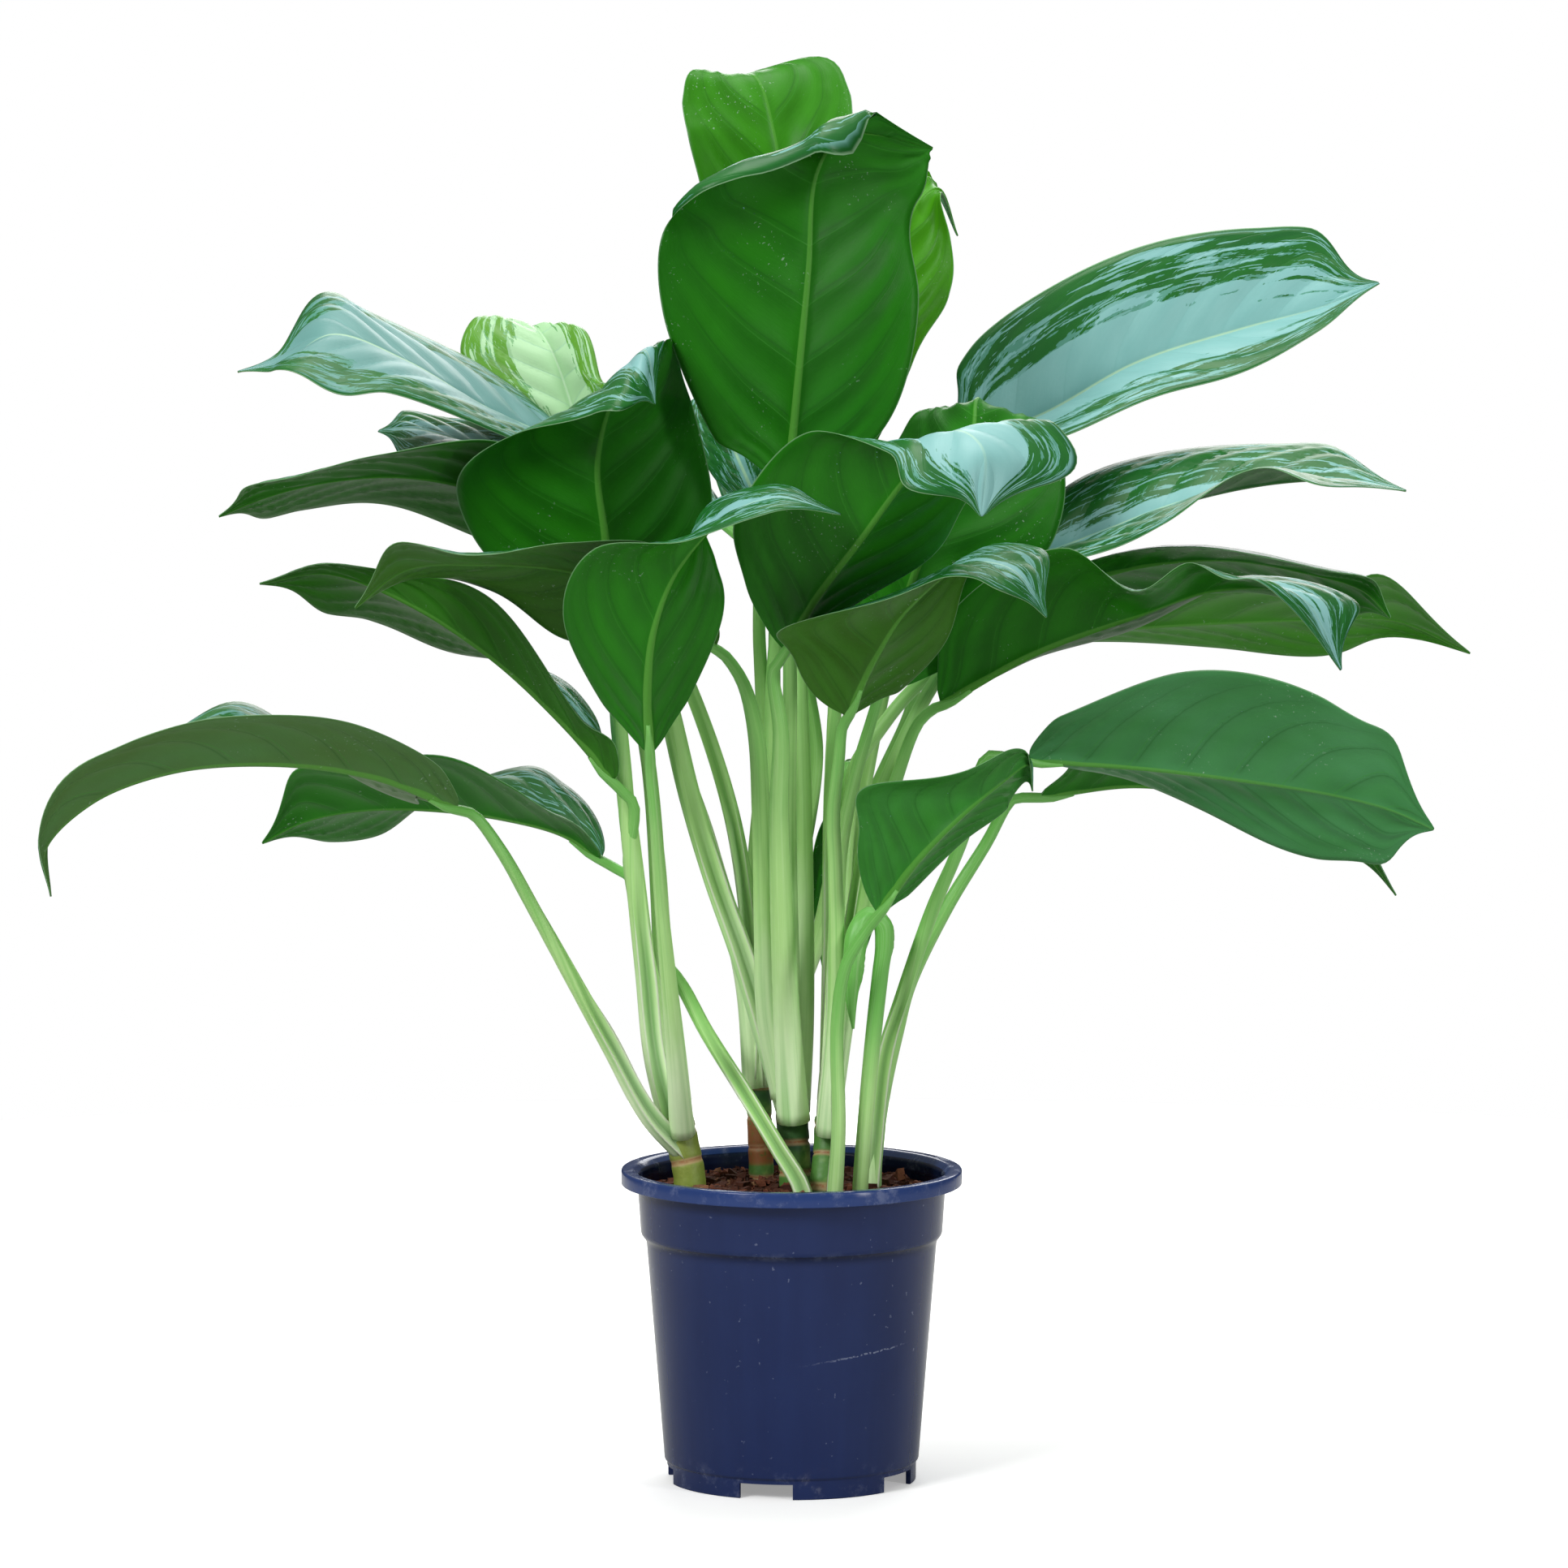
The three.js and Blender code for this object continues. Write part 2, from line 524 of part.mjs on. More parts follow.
// A round stalk along a curve. Its radius is a function of the share of the way along it.
function sweep(curve, radiusAt, sides, rings) {
  const points = [];
  const triangles = [];
  const frames = curve.computeFrenetFrames(rings, false);
  for (let i = 0; i <= rings; i += 1) {
    const centre = curve.getPointAt(i / rings);
    const radius = radiusAt(i / rings);
    for (let k = 0; k < sides; k += 1) {
      const turn = (2 * Math.PI * k) / sides;
      const across = frames.normals[i].clone().multiplyScalar(Math.cos(turn) * radius);
      across.addScaledVector(frames.binormals[i], Math.sin(turn) * radius);
      points.push(centre.clone().add(across));
    }
  }
  for (let i = 0; i < rings; i += 1) {
    for (let k = 0; k < sides; k += 1) {
      const a = i * sides + k;
      const b = i * sides + ((k + 1) % sides);
      triangles.push([a, b, b + sides], [a, b + sides, a + sides]);
    }
  }
  const last = rings * sides;
  for (let k = 1; k < sides - 1; k += 1) {
    triangles.push([0, k + 1, k], [last, last + k, last + k + 1]);
  }
  return indexed(points, triangles);
}

function uprightCylinder([x, y], radius, bottom, top, sides) {
  const cylinder = new THREE.CylinderGeometry(radius, radius, top - bottom, sides);
  return cylinder.rotateX(Math.PI / 2).translate(x, y, (top + bottom) / 2);
}

// ---- leaf blades --------------------------------------------------------------------------------------

const STATIONS = [0, 0.03, 0.09, 0.18, 0.29, 0.41, 0.53, 0.65, 0.76, 0.86, 0.94, 1];
const COLUMNS = [-1, -0.5, 0, 0.5, 1];
const ROLL_START = 0.82;          // where a half blade turns over, on the leaves with a rolled margin
const ROLLED_COLUMNS = [-1, -ROLL_START, -ROLL_START / 2, 0, ROLL_START / 2, ROLL_START, 1];
const ROLL_END = 0.92;            // the share of the blade by which a roll begins to run out to the tip
const FULL_ROLL = 6;              // a margin that hangs as far as this from its turn is fully rolled
const LOBE_SHARE = 0.15;          // the share of the blade, from the stalk, whose margins leave it squarely

// A blade's half width along the midrib, as a share of its widest: full and rounded at the stalk, widest
// before the middle, and drawn out into a drip tip.
function outline(u) {
  const dripTip = 1 - 0.6 * THREE.MathUtils.smoothstep(u, 0.8, 1);
  return Math.max(0, Math.sin(Math.PI * u ** 0.76)) ** 0.85 * dripTip;
}

// The value at u of a smooth line through the cuts' vectors, held constant past the first and last cut.
function alongCuts(cuts, u) {
  const last = cuts.length - 1;
  if (u <= cuts[0].at) return cuts[0].reach.clone();
  if (u >= cuts[last].at) return cuts[last].reach.clone();
  let k = 0;
  while (u > cuts[k + 1].at) k += 1;
  const slope = (i) => {
    const before = cuts[Math.max(0, i - 1)];
    const after = cuts[Math.min(last, i + 1)];
    const flat = i === 0 || i === last;
    return after.reach.clone().sub(before.reach).multiplyScalar(flat ? 0 : 1 / (after.at - before.at));
  };
  const span = cuts[k + 1].at - cuts[k].at;
  const t = (u - cuts[k].at) / span;
  return cuts[k].reach.clone().multiplyScalar(2 * t ** 3 - 3 * t ** 2 + 1)
    .addScaledVector(slope(k), (t ** 3 - 2 * t ** 2 + t) * span)
    .addScaledVector(cuts[k + 1].reach, -2 * t ** 3 + 3 * t ** 2)
    .addScaledVector(slope(k + 1), (t ** 3 - t ** 2) * span);
}

function reachesOf(curve, cuts, side) {
  return cuts.map((cut) => {
    const reach = vector(cut[side]).sub(curve.getPointAt(cut.at)).divideScalar(outline(cut.at));
    return { at: cut.at, reach };
  });
}

// How far the margin hangs from where the blade turns over, at each cut.
function rollsOf(cuts, side) {
  return cuts.map((cut) => ({ at: cut.at, reach: vector(cut[`${side}Roll`] ?? [0, 0, 0]) }));
}

function blade({ rib, cuts }) {
  const curve = curveThrough(rib);
  const reaches = { left: reachesOf(curve, cuts, "left"), right: reachesOf(curve, cuts, "right") };
  const rolls = { left: rollsOf(cuts, "left"), right: rollsOf(cuts, "right") };
  const shares = cuts.some((cut) => cut.leftRoll || cut.rightRoll) ? ROLLED_COLUMNS : COLUMNS;

  const middle = [];
  const upward = [];
  for (const u of STATIONS) {
    const centre = curve.getPointAt(u);
    const along = curve.getTangentAt(u);
    const half = (side) => {
      const reach = alongCuts(reaches[side], u);
      const lean = reach.dot(along);
      const square = reach.clone().addScaledVector(along, -lean).normalize();
      reach.addScaledVector(along, -lean * (1 - THREE.MathUtils.smoothstep(u, 0, LOBE_SHARE)));
      const width = reach.multiplyScalar(outline(u));
      return width.addScaledVector(square, THREE.MathUtils.lerp(BLADE_FOOT, 0.7, u));
    };
    const left = half("left");
    const right = half("right");
    const up = right.clone().sub(left).cross(along).normalize();
    const rollLeft = 1 - THREE.MathUtils.smoothstep(u, ROLL_END, 1);
    middle.push(shares.map((v) => {
      const side = v < 0 ? left : right;
      const hang = alongCuts(v < 0 ? rolls.left : rolls.right, u).multiplyScalar(rollLeft);
      const turned = Math.min(1, hang.length() / FULL_ROLL);
      const across = THREE.MathUtils.lerp(Math.abs(v), Math.min(1, Math.abs(v) / ROLL_START), turned);
      const bow = BLADE_ARCH * 4 * across * (1 - across) * outline(u);
      const point = centre.clone().addScaledVector(side, across).addScaledVector(up, bow);
      return Math.abs(v) < 1 ? point : point.add(hang);
    }));
    upward.push({ up, along });
  }

  const columns = shares.length;
  const rows = STATIONS.length;
  const points = [];
  const half = BLADE_THICKNESS / 2;
  const faceNormal = (i, j) => {
    if (i === 0 || i === rows - 1) return upward[i].up;
    const acrossRow = middle[i][Math.min(columns - 1, j + 1)].clone().sub(middle[i][Math.max(0, j - 1)]);
    const alongRow = middle[i + 1][j].clone().sub(middle[i - 1][j]);
    return acrossRow.cross(alongRow).normalize();
  };
  for (const faceSide of [1, -1]) {
    for (let i = 0; i < rows; i += 1) {
      for (let j = 0; j < columns; j += 1) {
        const keel = faceSide < 0 && shares[j] === 0 ? KEEL_DEPTH * (1 - 0.8 * STATIONS[i]) : 0;
        points.push(middle[i][j].clone().addScaledVector(faceNormal(i, j), faceSide * (half + keel)));
      }
    }
  }
  const top = (i, j) => i * columns + j;
  const under = (i, j) => rows * columns + i * columns + j;
  const triangles = [];
  for (let i = 0; i < rows - 1; i += 1) {
    for (let j = 0; j < columns - 1; j += 1) {
      triangles.push([top(i, j), top(i, j + 1), top(i + 1, j + 1)],
        [top(i, j), top(i + 1, j + 1), top(i + 1, j)]);
      triangles.push([under(i, j), under(i + 1, j + 1), under(i, j + 1)]);
      triangles.push([under(i, j), under(i + 1, j), under(i + 1, j + 1)]);
    }
    const end = columns - 1;
    triangles.push([top(i, 0), top(i + 1, 0), under(i + 1, 0)], [top(i, 0), under(i + 1, 0), under(i, 0)]);
    triangles.push([top(i, end), under(i + 1, end), top(i + 1, end)],
      [top(i, end), under(i, end), under(i + 1, end)]);
  }
  for (let j = 0; j < columns - 1; j += 1) {
    const end = rows - 1;
    triangles.push([top(0, j), under(0, j + 1), top(0, j + 1)], [top(0, j), under(0, j), under(0, j + 1)]);
    triangles.push([top(end, j), top(end, j + 1), under(end, j + 1)],
      [top(end, j), under(end, j + 1), under(end, j)]);
  }
  return indexed(points, triangles);
}

// ---- stems --------------------------------------------------------------------------------------------

// A leaf stalk is broad where its sheath clasps the cane, and slimmer towards the blade. It turns into the
// midrib's direction and ends square to it, just short of the blade.
function stalkOf({ stalk, rib, thick }) {
  const ribCurve = curveThrough(rib);
  const start = ribCurve.getPointAt(0);
  const along = ribCurve.getTangentAt(0);
  const end = start.clone().addScaledVector(along, -CLEARANCE - KEEL_DEPTH * 0.1);
  const lead = TURN_IN_SHARE * start.distanceTo(vector(stalk.at(-1)));
  const turnIn = Math.min(TURN_IN_LENGTH, lead);
  const straight = [turnIn, turnIn / 2].map((back) => start.clone().addScaledVector(along, -back).toArray());
  const route = curveThrough([...stalk, ...straight, end.toArray()]);
  const rings = Math.max(6, Math.round(route.getLength() / STALK_RING_SPACING));
  const [base, top] = thick;
  const radiusAt = (t) => {
    const radius = THREE.MathUtils.lerp(base, top, Math.min(1, t * 1.25) ** 0.7);
    return THREE.MathUtils.lerp(radius, STALK_TIP_RADIUS, THREE.MathUtils.smoothstep(t, 0.75, 1));
  };
  return sweep(route, radiusAt, STALK_SIDES, rings);
}

// A cane swells a little between its rings. Without a cane, the first leaf's stalk itself stands in the soil.
function stem({ foot, footRadius, cane, leaves }) {
  const [x, y] = foot;
  const buried = [HOLE_DEPTH, HOLE_DEPTH / 2, 4].map((depth) => [x, y, SOIL_LEVEL - depth]);
  const route = curveThrough([...buried, ...(cane ?? [[x, y, SOIL_LEVEL + 5]])]);
  const swelling = (t) => footRadius * (0.94 + 0.06 * Math.abs(Math.sin(5 * Math.PI * t)));
  let solid = solidOf(sweep(route, swelling, CANE_SIDES, cane ? 10 : 3));
  for (const leaf of Object.values(leaves)) {
    solid = solid.add(solidOf(stalkOf({ thick: STALK_THICK, ...leaf })));
  }
  return geometryOf(solid);
}

function sprout({ foot, footRadius, route, radii }) {
  const radiusAt = (t) => {
    const place = t * (radii.length - 1);
    const k = Math.min(radii.length - 2, Math.floor(place));
    return THREE.MathUtils.lerp(radii[k], radii[k + 1], place - k);
  };
  const root = uprightCylinder(foot, footRadius + 0.4, SOIL_LEVEL - HOLE_DEPTH, SOIL_LEVEL + 7, CANE_SIDES);
  return geometryOf(solidOf(root).add(solidOf(sweep(curveThrough(route), radiusAt, 8, 16))));
}

// ---- pot and soil -------------------------------------------------------------------------------------

function latheUpright(profile, sides) {
  const points = profile.map(([r, z]) => new THREE.Vector2(r, z));
  return new THREE.LatheGeometry(points, sides).rotateX(Math.PI / 2);
}

const floorTop = FLOOR_UNDERSIDE + FLOOR_THICKNESS;
const lipUnderside = POT_HEIGHT - LIP_HEIGHT;

function pot() {
  const profile = [
    [0, FLOOR_UNDERSIDE],
    [FOOT_RADIUS - FOOT_WALL, FLOOR_UNDERSIDE],
    [FOOT_RADIUS - FOOT_WALL, 0],
    [FOOT_RADIUS, 0],
    [FOOT_RADIUS, FOOT_HEIGHT],
    [BODY_FOOT_RADIUS, FOOT_HEIGHT + 1],
    [BELOW_SHOULDER_RADIUS, SHOULDER_HEIGHT - 1.5],
    [SHOULDER_RADIUS, SHOULDER_HEIGHT + 1.5],
    [SHOULDER_RADIUS + 2.4, POT_HEIGHT - LIP_THICKNESS],
    [RIM_RADIUS - LIP_THICKNESS, POT_HEIGHT - LIP_THICKNESS],
    [RIM_RADIUS - LIP_THICKNESS, lipUnderside],
    [RIM_RADIUS, lipUnderside],
    [RIM_RADIUS, POT_HEIGHT],
    [RIM_INNER_RADIUS, POT_HEIGHT],
    [SHOULDER_RADIUS + 2.2 - WALL, POT_HEIGHT - 4],
    [SHOULDER_RADIUS - WALL, SHOULDER_HEIGHT + 1.5],
    [BELOW_SHOULDER_RADIUS - WALL, SHOULDER_HEIGHT - 1.5],
    [BODY_FOOT_RADIUS - WALL, floorTop],
    [0, floorTop],
  ];
  let solid = solidOf(latheUpright(profile, POT_SIDES));
  for (let k = 0; k < FOOT_NOTCHES; k += 1) {
    const turn = THREE.MathUtils.degToRad(FIRST_NOTCH_TURN + (360 / FOOT_NOTCHES) * k);
    const notch = new THREE.BoxGeometry(20, NOTCH_WIDTH, NOTCH_HEIGHT * 2).translate(FOOT_RADIUS, 0, 0);
    solid = solid.subtract(solidOf(notch.rotateZ(turn)));
  }
  for (let k = 0; k < DRAIN_HOLES; k += 1) {
    const turn = THREE.MathUtils.degToRad(FIRST_NOTCH_TURN + (360 / DRAIN_HOLES) * (k + 0.5));
    const place = [DRAIN_HOLE_CIRCLE * Math.cos(turn), DRAIN_HOLE_CIRCLE * Math.sin(turn)];
    const hole = uprightCylinder(place, DRAIN_HOLE_RADIUS, FLOOR_UNDERSIDE - 2, floorTop + 2, 8);
    solid = solid.subtract(solidOf(hole));
  }
  return geometryOf(solid);
}

// Coarse lumps on the soil, a little higher in the middle.
function soilHeight(x, y) {
  const lumps = Math.sin(x * 0.21 + 1.3) * Math.cos(y * 0.17) + 0.6 * Math.sin(x * 0.09 - y * 0.31);
  return SOIL_LEVEL + SOIL_LUMP * 0.5 * lumps + 1.5 * Math.cos(Math.hypot(x, y) * 0.018);
}

function soil() {
  const wallRadius = (z) => {
    const rise = (z - floorTop) / (SHOULDER_HEIGHT - 1.5 - floorTop);
    return THREE.MathUtils.lerp(BODY_FOOT_RADIUS, BELOW_SHOULDER_RADIUS, rise) - WALL - CLEARANCE - 0.3;
  };
  const shoulderRing = SHOULDER_RADIUS - WALL - CLEARANCE - 0.3;
  const profile = [
    [wallRadius(floorTop), floorTop + CLEARANCE],
    [wallRadius(SHOULDER_HEIGHT - 2), SHOULDER_HEIGHT - 2],
    [shoulderRing, SHOULDER_HEIGHT + 2],
  ];
  const surfaceRadius = shoulderRing + 0.8;
  const points = [];
  const triangles = [];
  const ring = (radius, height) => {
    for (let k = 0; k < SOIL_SIDES; k += 1) {
      const turn = (2 * Math.PI * k) / SOIL_SIDES;
      const [x, y] = [radius * Math.cos(turn), radius * Math.sin(turn)];
      points.push(new THREE.Vector3(x, y, height(x, y)));
    }
  };
  for (const [radius, z] of profile) ring(radius, () => z);
  for (let i = SOIL_RINGS; i > 0; i -= 1) ring((surfaceRadius * i) / SOIL_RINGS, soilHeight);
  const rings = profile.length + SOIL_RINGS;
  for (let i = 0; i < rings - 1; i += 1) {
    for (let k = 0; k < SOIL_SIDES; k += 1) {
      const a = i * SOIL_SIDES + k;
      const b = i * SOIL_SIDES + ((k + 1) % SOIL_SIDES);
      triangles.push([a, b, b + SOIL_SIDES], [a, b + SOIL_SIDES, a + SOIL_SIDES]);
    }
  }
  const bottomCentre = points.push(new THREE.Vector3(0, 0, floorTop + CLEARANCE)) - 1;
  const topCentre = points.push(new THREE.Vector3(0, 0, soilHeight(0, 0))) - 1;
  for (let k = 0; k < SOIL_SIDES; k += 1) {
    const next = (k + 1) % SOIL_SIDES;
    const last = (rings - 1) * SOIL_SIDES;
    triangles.push([bottomCentre, next, k], [topCentre, last + k, last + next]);
  }
  let solid = solidOf(indexed(points, triangles));
  const holes = Object.values(SHOOTS).map(({ foot, footRadius }) => ({ foot, footRadius }));
  holes.push({ foot: SPROUT.foot, footRadius: SPROUT.footRadius + 0.4 });
  for (const { foot, footRadius } of holes) {
    const bottom = SOIL_LEVEL - HOLE_DEPTH - CLEARANCE;
    const hole = uprightCylinder(foot, footRadius + CLEARANCE + 0.05, bottom, SOIL_LEVEL + 20, CANE_SIDES);
    solid = solid.subtract(solidOf(hole));
  }
  return geometryOf(solid);
}

// ---- the group ----------------------------------------------------------------------------------------

const plant = new THREE.Group();
plant.add(pieceFrom("pot", pot(), COLOURS.pot));
plant.add(pieceFrom("soil", soil(), COLOURS.soil));
plant.add(pieceFrom("sprout", sprout(SPROUT), COLOURS.stem));
for (const [name, shoot] of Object.entries(SHOOTS)) {
  plant.add(pieceFrom(name, stem(shoot), COLOURS.stem));
  for (const [leafName, leaf] of Object.entries(shoot.leaves)) {
    plant.add(pieceFrom(leafName, blade(leaf), COLOURS.leaf));
  }
}

export default plant;
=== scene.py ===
# %% [markdown]
# # A potted Chinese evergreen
#
# The plant has four short canes and three shoots that come straight out of the soil. They carry 29 broad
# leaves on long sheathed stalks. A leaf's upper face is silver with dark green brush strokes towards the
# margin, and its underside is plain glossy green. We build it piece by piece around the imported solids, and
# each piece that we make takes the place of an imported solid, which is hidden.

# %% The frame
import math

import bpy
import numpy as np
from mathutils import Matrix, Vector


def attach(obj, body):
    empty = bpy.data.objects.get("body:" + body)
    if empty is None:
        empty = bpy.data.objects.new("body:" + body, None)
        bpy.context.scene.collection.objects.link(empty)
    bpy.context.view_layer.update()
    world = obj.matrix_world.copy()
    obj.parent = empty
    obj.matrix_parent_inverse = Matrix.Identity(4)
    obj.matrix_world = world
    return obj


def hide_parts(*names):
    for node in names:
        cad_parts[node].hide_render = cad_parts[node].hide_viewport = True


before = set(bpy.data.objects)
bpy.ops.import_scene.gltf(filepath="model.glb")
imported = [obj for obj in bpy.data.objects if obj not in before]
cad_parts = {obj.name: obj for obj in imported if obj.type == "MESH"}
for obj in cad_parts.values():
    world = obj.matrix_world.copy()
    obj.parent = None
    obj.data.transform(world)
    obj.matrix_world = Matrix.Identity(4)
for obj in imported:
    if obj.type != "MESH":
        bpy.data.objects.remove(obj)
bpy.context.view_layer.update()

MM = 0.001
SOIL_SEED = 29
rng = np.random.default_rng(SOIL_SEED)

# %% [markdown]
# ## The camera
#
# The photograph was taken from far away with a long lens: both rims of the pot look almost like the same
# ellipse. A camera five metres away, a little above the leaves and tilted down by six degrees, sees the
# plant in the same way.

# %% The camera
CAMERA_AT = Vector((-0.00425, -5.0, 0.925))
CAMERA_PITCH = math.radians(6.105)
SENSOR_WIDTH = 36
FOCAL_LENGTH = 208.06

camera_data = bpy.data.cameras.new("camera")
camera_data.sensor_width = SENSOR_WIDTH
camera_data.lens = FOCAL_LENGTH
camera_data.clip_start = 0.1
camera_data.clip_end = 200
camera = bpy.data.objects.new("camera", camera_data)
camera.location = CAMERA_AT
camera.rotation_euler = (math.pi / 2 - CAMERA_PITCH, 0, 0)
bpy.context.scene.collection.objects.link(camera)
bpy.context.scene.camera = camera
print("camera looks along +Y, lens", camera_data.lens)

# %% [markdown]
# ## Arithmetic on a material's sockets
#
# A procedural material is a graph of nodes. Written out node by node it is hard to read, so we wrap a socket
# in a small class. Then `1 - mask` or `noise * 0.5 + bias` adds the Math nodes by itself, and one function
# adds any other node: its type, its settings, and what goes into its sockets.

# %% Wires
def add_node(tree, kind, settings=None, sockets=None, output=None):
    """Adds one node. Settings come first, because they decide which sockets the node shows."""
    node = tree.nodes.new(kind)
    for name, value in (settings or {}).items():
        setattr(node, name, value)
    for name, value in (sockets or {}).items():
        if isinstance(name, int):
            socket = node.inputs[name]
        else:
            socket = next(s for s in node.inputs if s.enabled and s.name == name)
        if isinstance(value, Wire):
            tree.links.new(value.socket, socket)
        else:
            socket.default_value = value
    shown = [s for s in node.outputs if s.enabled]
    chosen = next((s for s in shown if s.name == output), shown[0])
    return Wire(chosen)


class Wire:
    """A node's output, which Python's operators can work with."""

    def __init__(self, socket):
        self.socket = socket
        self.tree = socket.id_data

    def math(self, operation, *values):
        return add_node(self.tree, "ShaderNodeMath", {"operation": operation}, dict(enumerate(values)))

    def __add__(self, other):
        return self.math("ADD", self, other)

    def __radd__(self, other):
        return self.math("ADD", other, self)

    def __sub__(self, other):
        return self.math("SUBTRACT", self, other)

    def __rsub__(self, other):
        return self.math("SUBTRACT", other, self)

    def __mul__(self, other):
        return self.math("MULTIPLY", self, other)

    def __rmul__(self, other):
        return self.math("MULTIPLY", other, self)

    def __pow__(self, other):
        return self.math("POWER", self, other)

    def __abs__(self):
        return self.math("ABSOLUTE", self)

    def sine(self):
        return self.math("SINE", self)

    def at_most(self, other):
        return self.math("MINIMUM", self, other)

    def at_least(self, other):
        return self.math("MAXIMUM", self, other)

    def step(self, low, high):
        """A soft step from 0 at low to 1 at high, or down again if high is the smaller."""
        flip = high < low
        ends = {"From Min": min(low, high), "From Max": max(low, high)}
        ends.update({"To Min": 1.0 if flip else 0.0, "To Max": 0.0 if flip else 1.0, "Value": self})
        return add_node(self.tree, "ShaderNodeMapRange", {"interpolation_type": "SMOOTHSTEP"}, ends)


def colour(code):
    """The linear colour of a hex code as a screen shows it, fully opaque."""
    parts = [int(code[i:i + 2], 16) / 255 for i in (1, 3, 5)]
    linear = [c / 12.92 if c <= 0.04045 else ((c + 0.055) / 1.055) ** 2.4 for c in parts]
    return (*linear, 1.0)


class Finish:
    """A material under construction, around one Principled shader."""

    def __init__(self, name, **uniform):
        self.material = bpy.data.materials.new(name)
        self.material.use_nodes = True
        self.tree = self.material.node_tree
        self.shader = next(n for n in self.tree.nodes if n.type == "BSDF_PRINCIPLED")
        for socket, value in uniform.items():
            self.shader.inputs[socket.replace("_", " ")].default_value = value

    def node(self, kind, settings=None, sockets=None, output=None):
        return add_node(self.tree, kind, settings, sockets, output)

    def stored(self, name):
        """A number that the mesh carries at each of its points."""
        return self.node("ShaderNodeAttribute", {"attribute_name": name}, output="Fac")

    def place(self, x, y, z):
        return self.node("ShaderNodeCombineXYZ", None, {"X": x, "Y": y, "Z": z})

    def position(self):
        return self.node("ShaderNodeTexCoord", output="Object")

    def parts_of(self, vector):
        names = ("X", "Y", "Z")
        return [self.node("ShaderNodeSeparateXYZ", None, {"Vector": vector}, name) for name in names]

    def noise(self, vector, scale=1.0, detail=3.0, roughness=0.5):
        sockets = {"Vector": vector, "Scale": scale, "Detail": detail, "Roughness": roughness}
        return self.node("ShaderNodeTexNoise", None, sockets, "Fac")

    def mix(self, first, second, mask):
        """One colour over another, by a mask."""
        settings = {"data_type": "RGBA", "blend_type": "MIX", "clamp_factor": True}
        return self.node("ShaderNodeMix", settings, {"Factor": mask, "A": first, "B": second}, "Result")

    def bump(self, height, strength, distance):
        sockets = {"Height": height, "Strength": strength, "Distance": distance}
        return self.node("ShaderNodeBump", None, sockets, "Normal")

    def set(self, **varying):
        for socket, value in varying.items():
            self.tree.links.new(value.socket, self.shader.inputs[socket.replace("_", " ")])
        return self.material


print("wires and finishes are ready")

# %% [markdown]
# ## Curves
#
# Every stalk and every midrib is a smooth line through a few points. The centripetal form of the Catmull-Rom
# spline doesn't overshoot between points that are unevenly spaced. We walk it once, so that places on it can
# then be asked for by the share of its length.

# %% A smooth line
class Line:
    STEPS = 60

    def __init__(self, points):
        given = np.array(points, float)
        before = 2 * given[0] - given[1]
        after = 2 * given[-1] - given[-2]
        padded = np.vstack([before, given, after])
        share = np.linspace(0, 1, self.STEPS, endpoint=False)[:, None]
        walked = []
        for p0, p1, p2, p3 in zip(padded, padded[1:], padded[2:], padded[3:]):
            gap0, gap1, gap2 = (math.sqrt(np.linalg.norm(b - a)) for a, b in ((p0, p1), (p1, p2), (p2, p3)))
            slope1 = ((p1 - p0) / gap0 - (p2 - p0) / (gap0 + gap1) + (p2 - p1) / gap1) * gap1
            slope2 = ((p2 - p1) / gap1 - (p3 - p1) / (gap1 + gap2) + (p3 - p2) / gap2) * gap1
            walked.append(p1 + slope1 * share + (3 * (p2 - p1) - 2 * slope1 - slope2) * share ** 2
                          + (2 * (p1 - p2) + slope1 + slope2) * share ** 3)
        walked.append(given[-1:])
        self.points = np.vstack(walked)
        steps = np.linalg.norm(np.diff(self.points, axis=0), axis=1)
        self.travelled = np.concatenate([[0], np.cumsum(steps)])
        self.length = self.travelled[-1]

    def at(self, share):
        where = np.clip(share, 0, 1) * self.length
        return np.stack([np.interp(where, self.travelled, self.points[:, k]) for k in range(3)], -1)

    def along(self, share):
        share = np.asarray(share, float)
        ahead = self.at(np.minimum(share + 0.004, 1)) - self.at(np.maximum(share - 0.004, 0))
        return ahead / np.linalg.norm(ahead, axis=-1, keepdims=True)


def smooth(low, high, x):
    t = np.clip((np.asarray(x, float) - low) / (high - low), 0, 1)
    return t * t * (3 - 2 * t)


def unit(v):
    return v / np.maximum(np.linalg.norm(v, axis=-1, keepdims=True), 1e-9)


print("a line through three points is", round(Line([(0, 0, 0), (10, 0, 0), (20, 5, 0)]).length, 2), "mm long")

# %% [markdown]
# ## The plant's plan
#
# Each shoot stands on a foot in the soil. Its cane, where it has one, is a short thick stem that carries the
# stalks. A leaf is its stalk's route, its midrib from the stalk to the tip, and a few cuts across the blade:
# at a share of the midrib's length, where the left and right margins are, seen on the upper face from the
# stalk. All of this is in millimetres, as a grower would measure it.

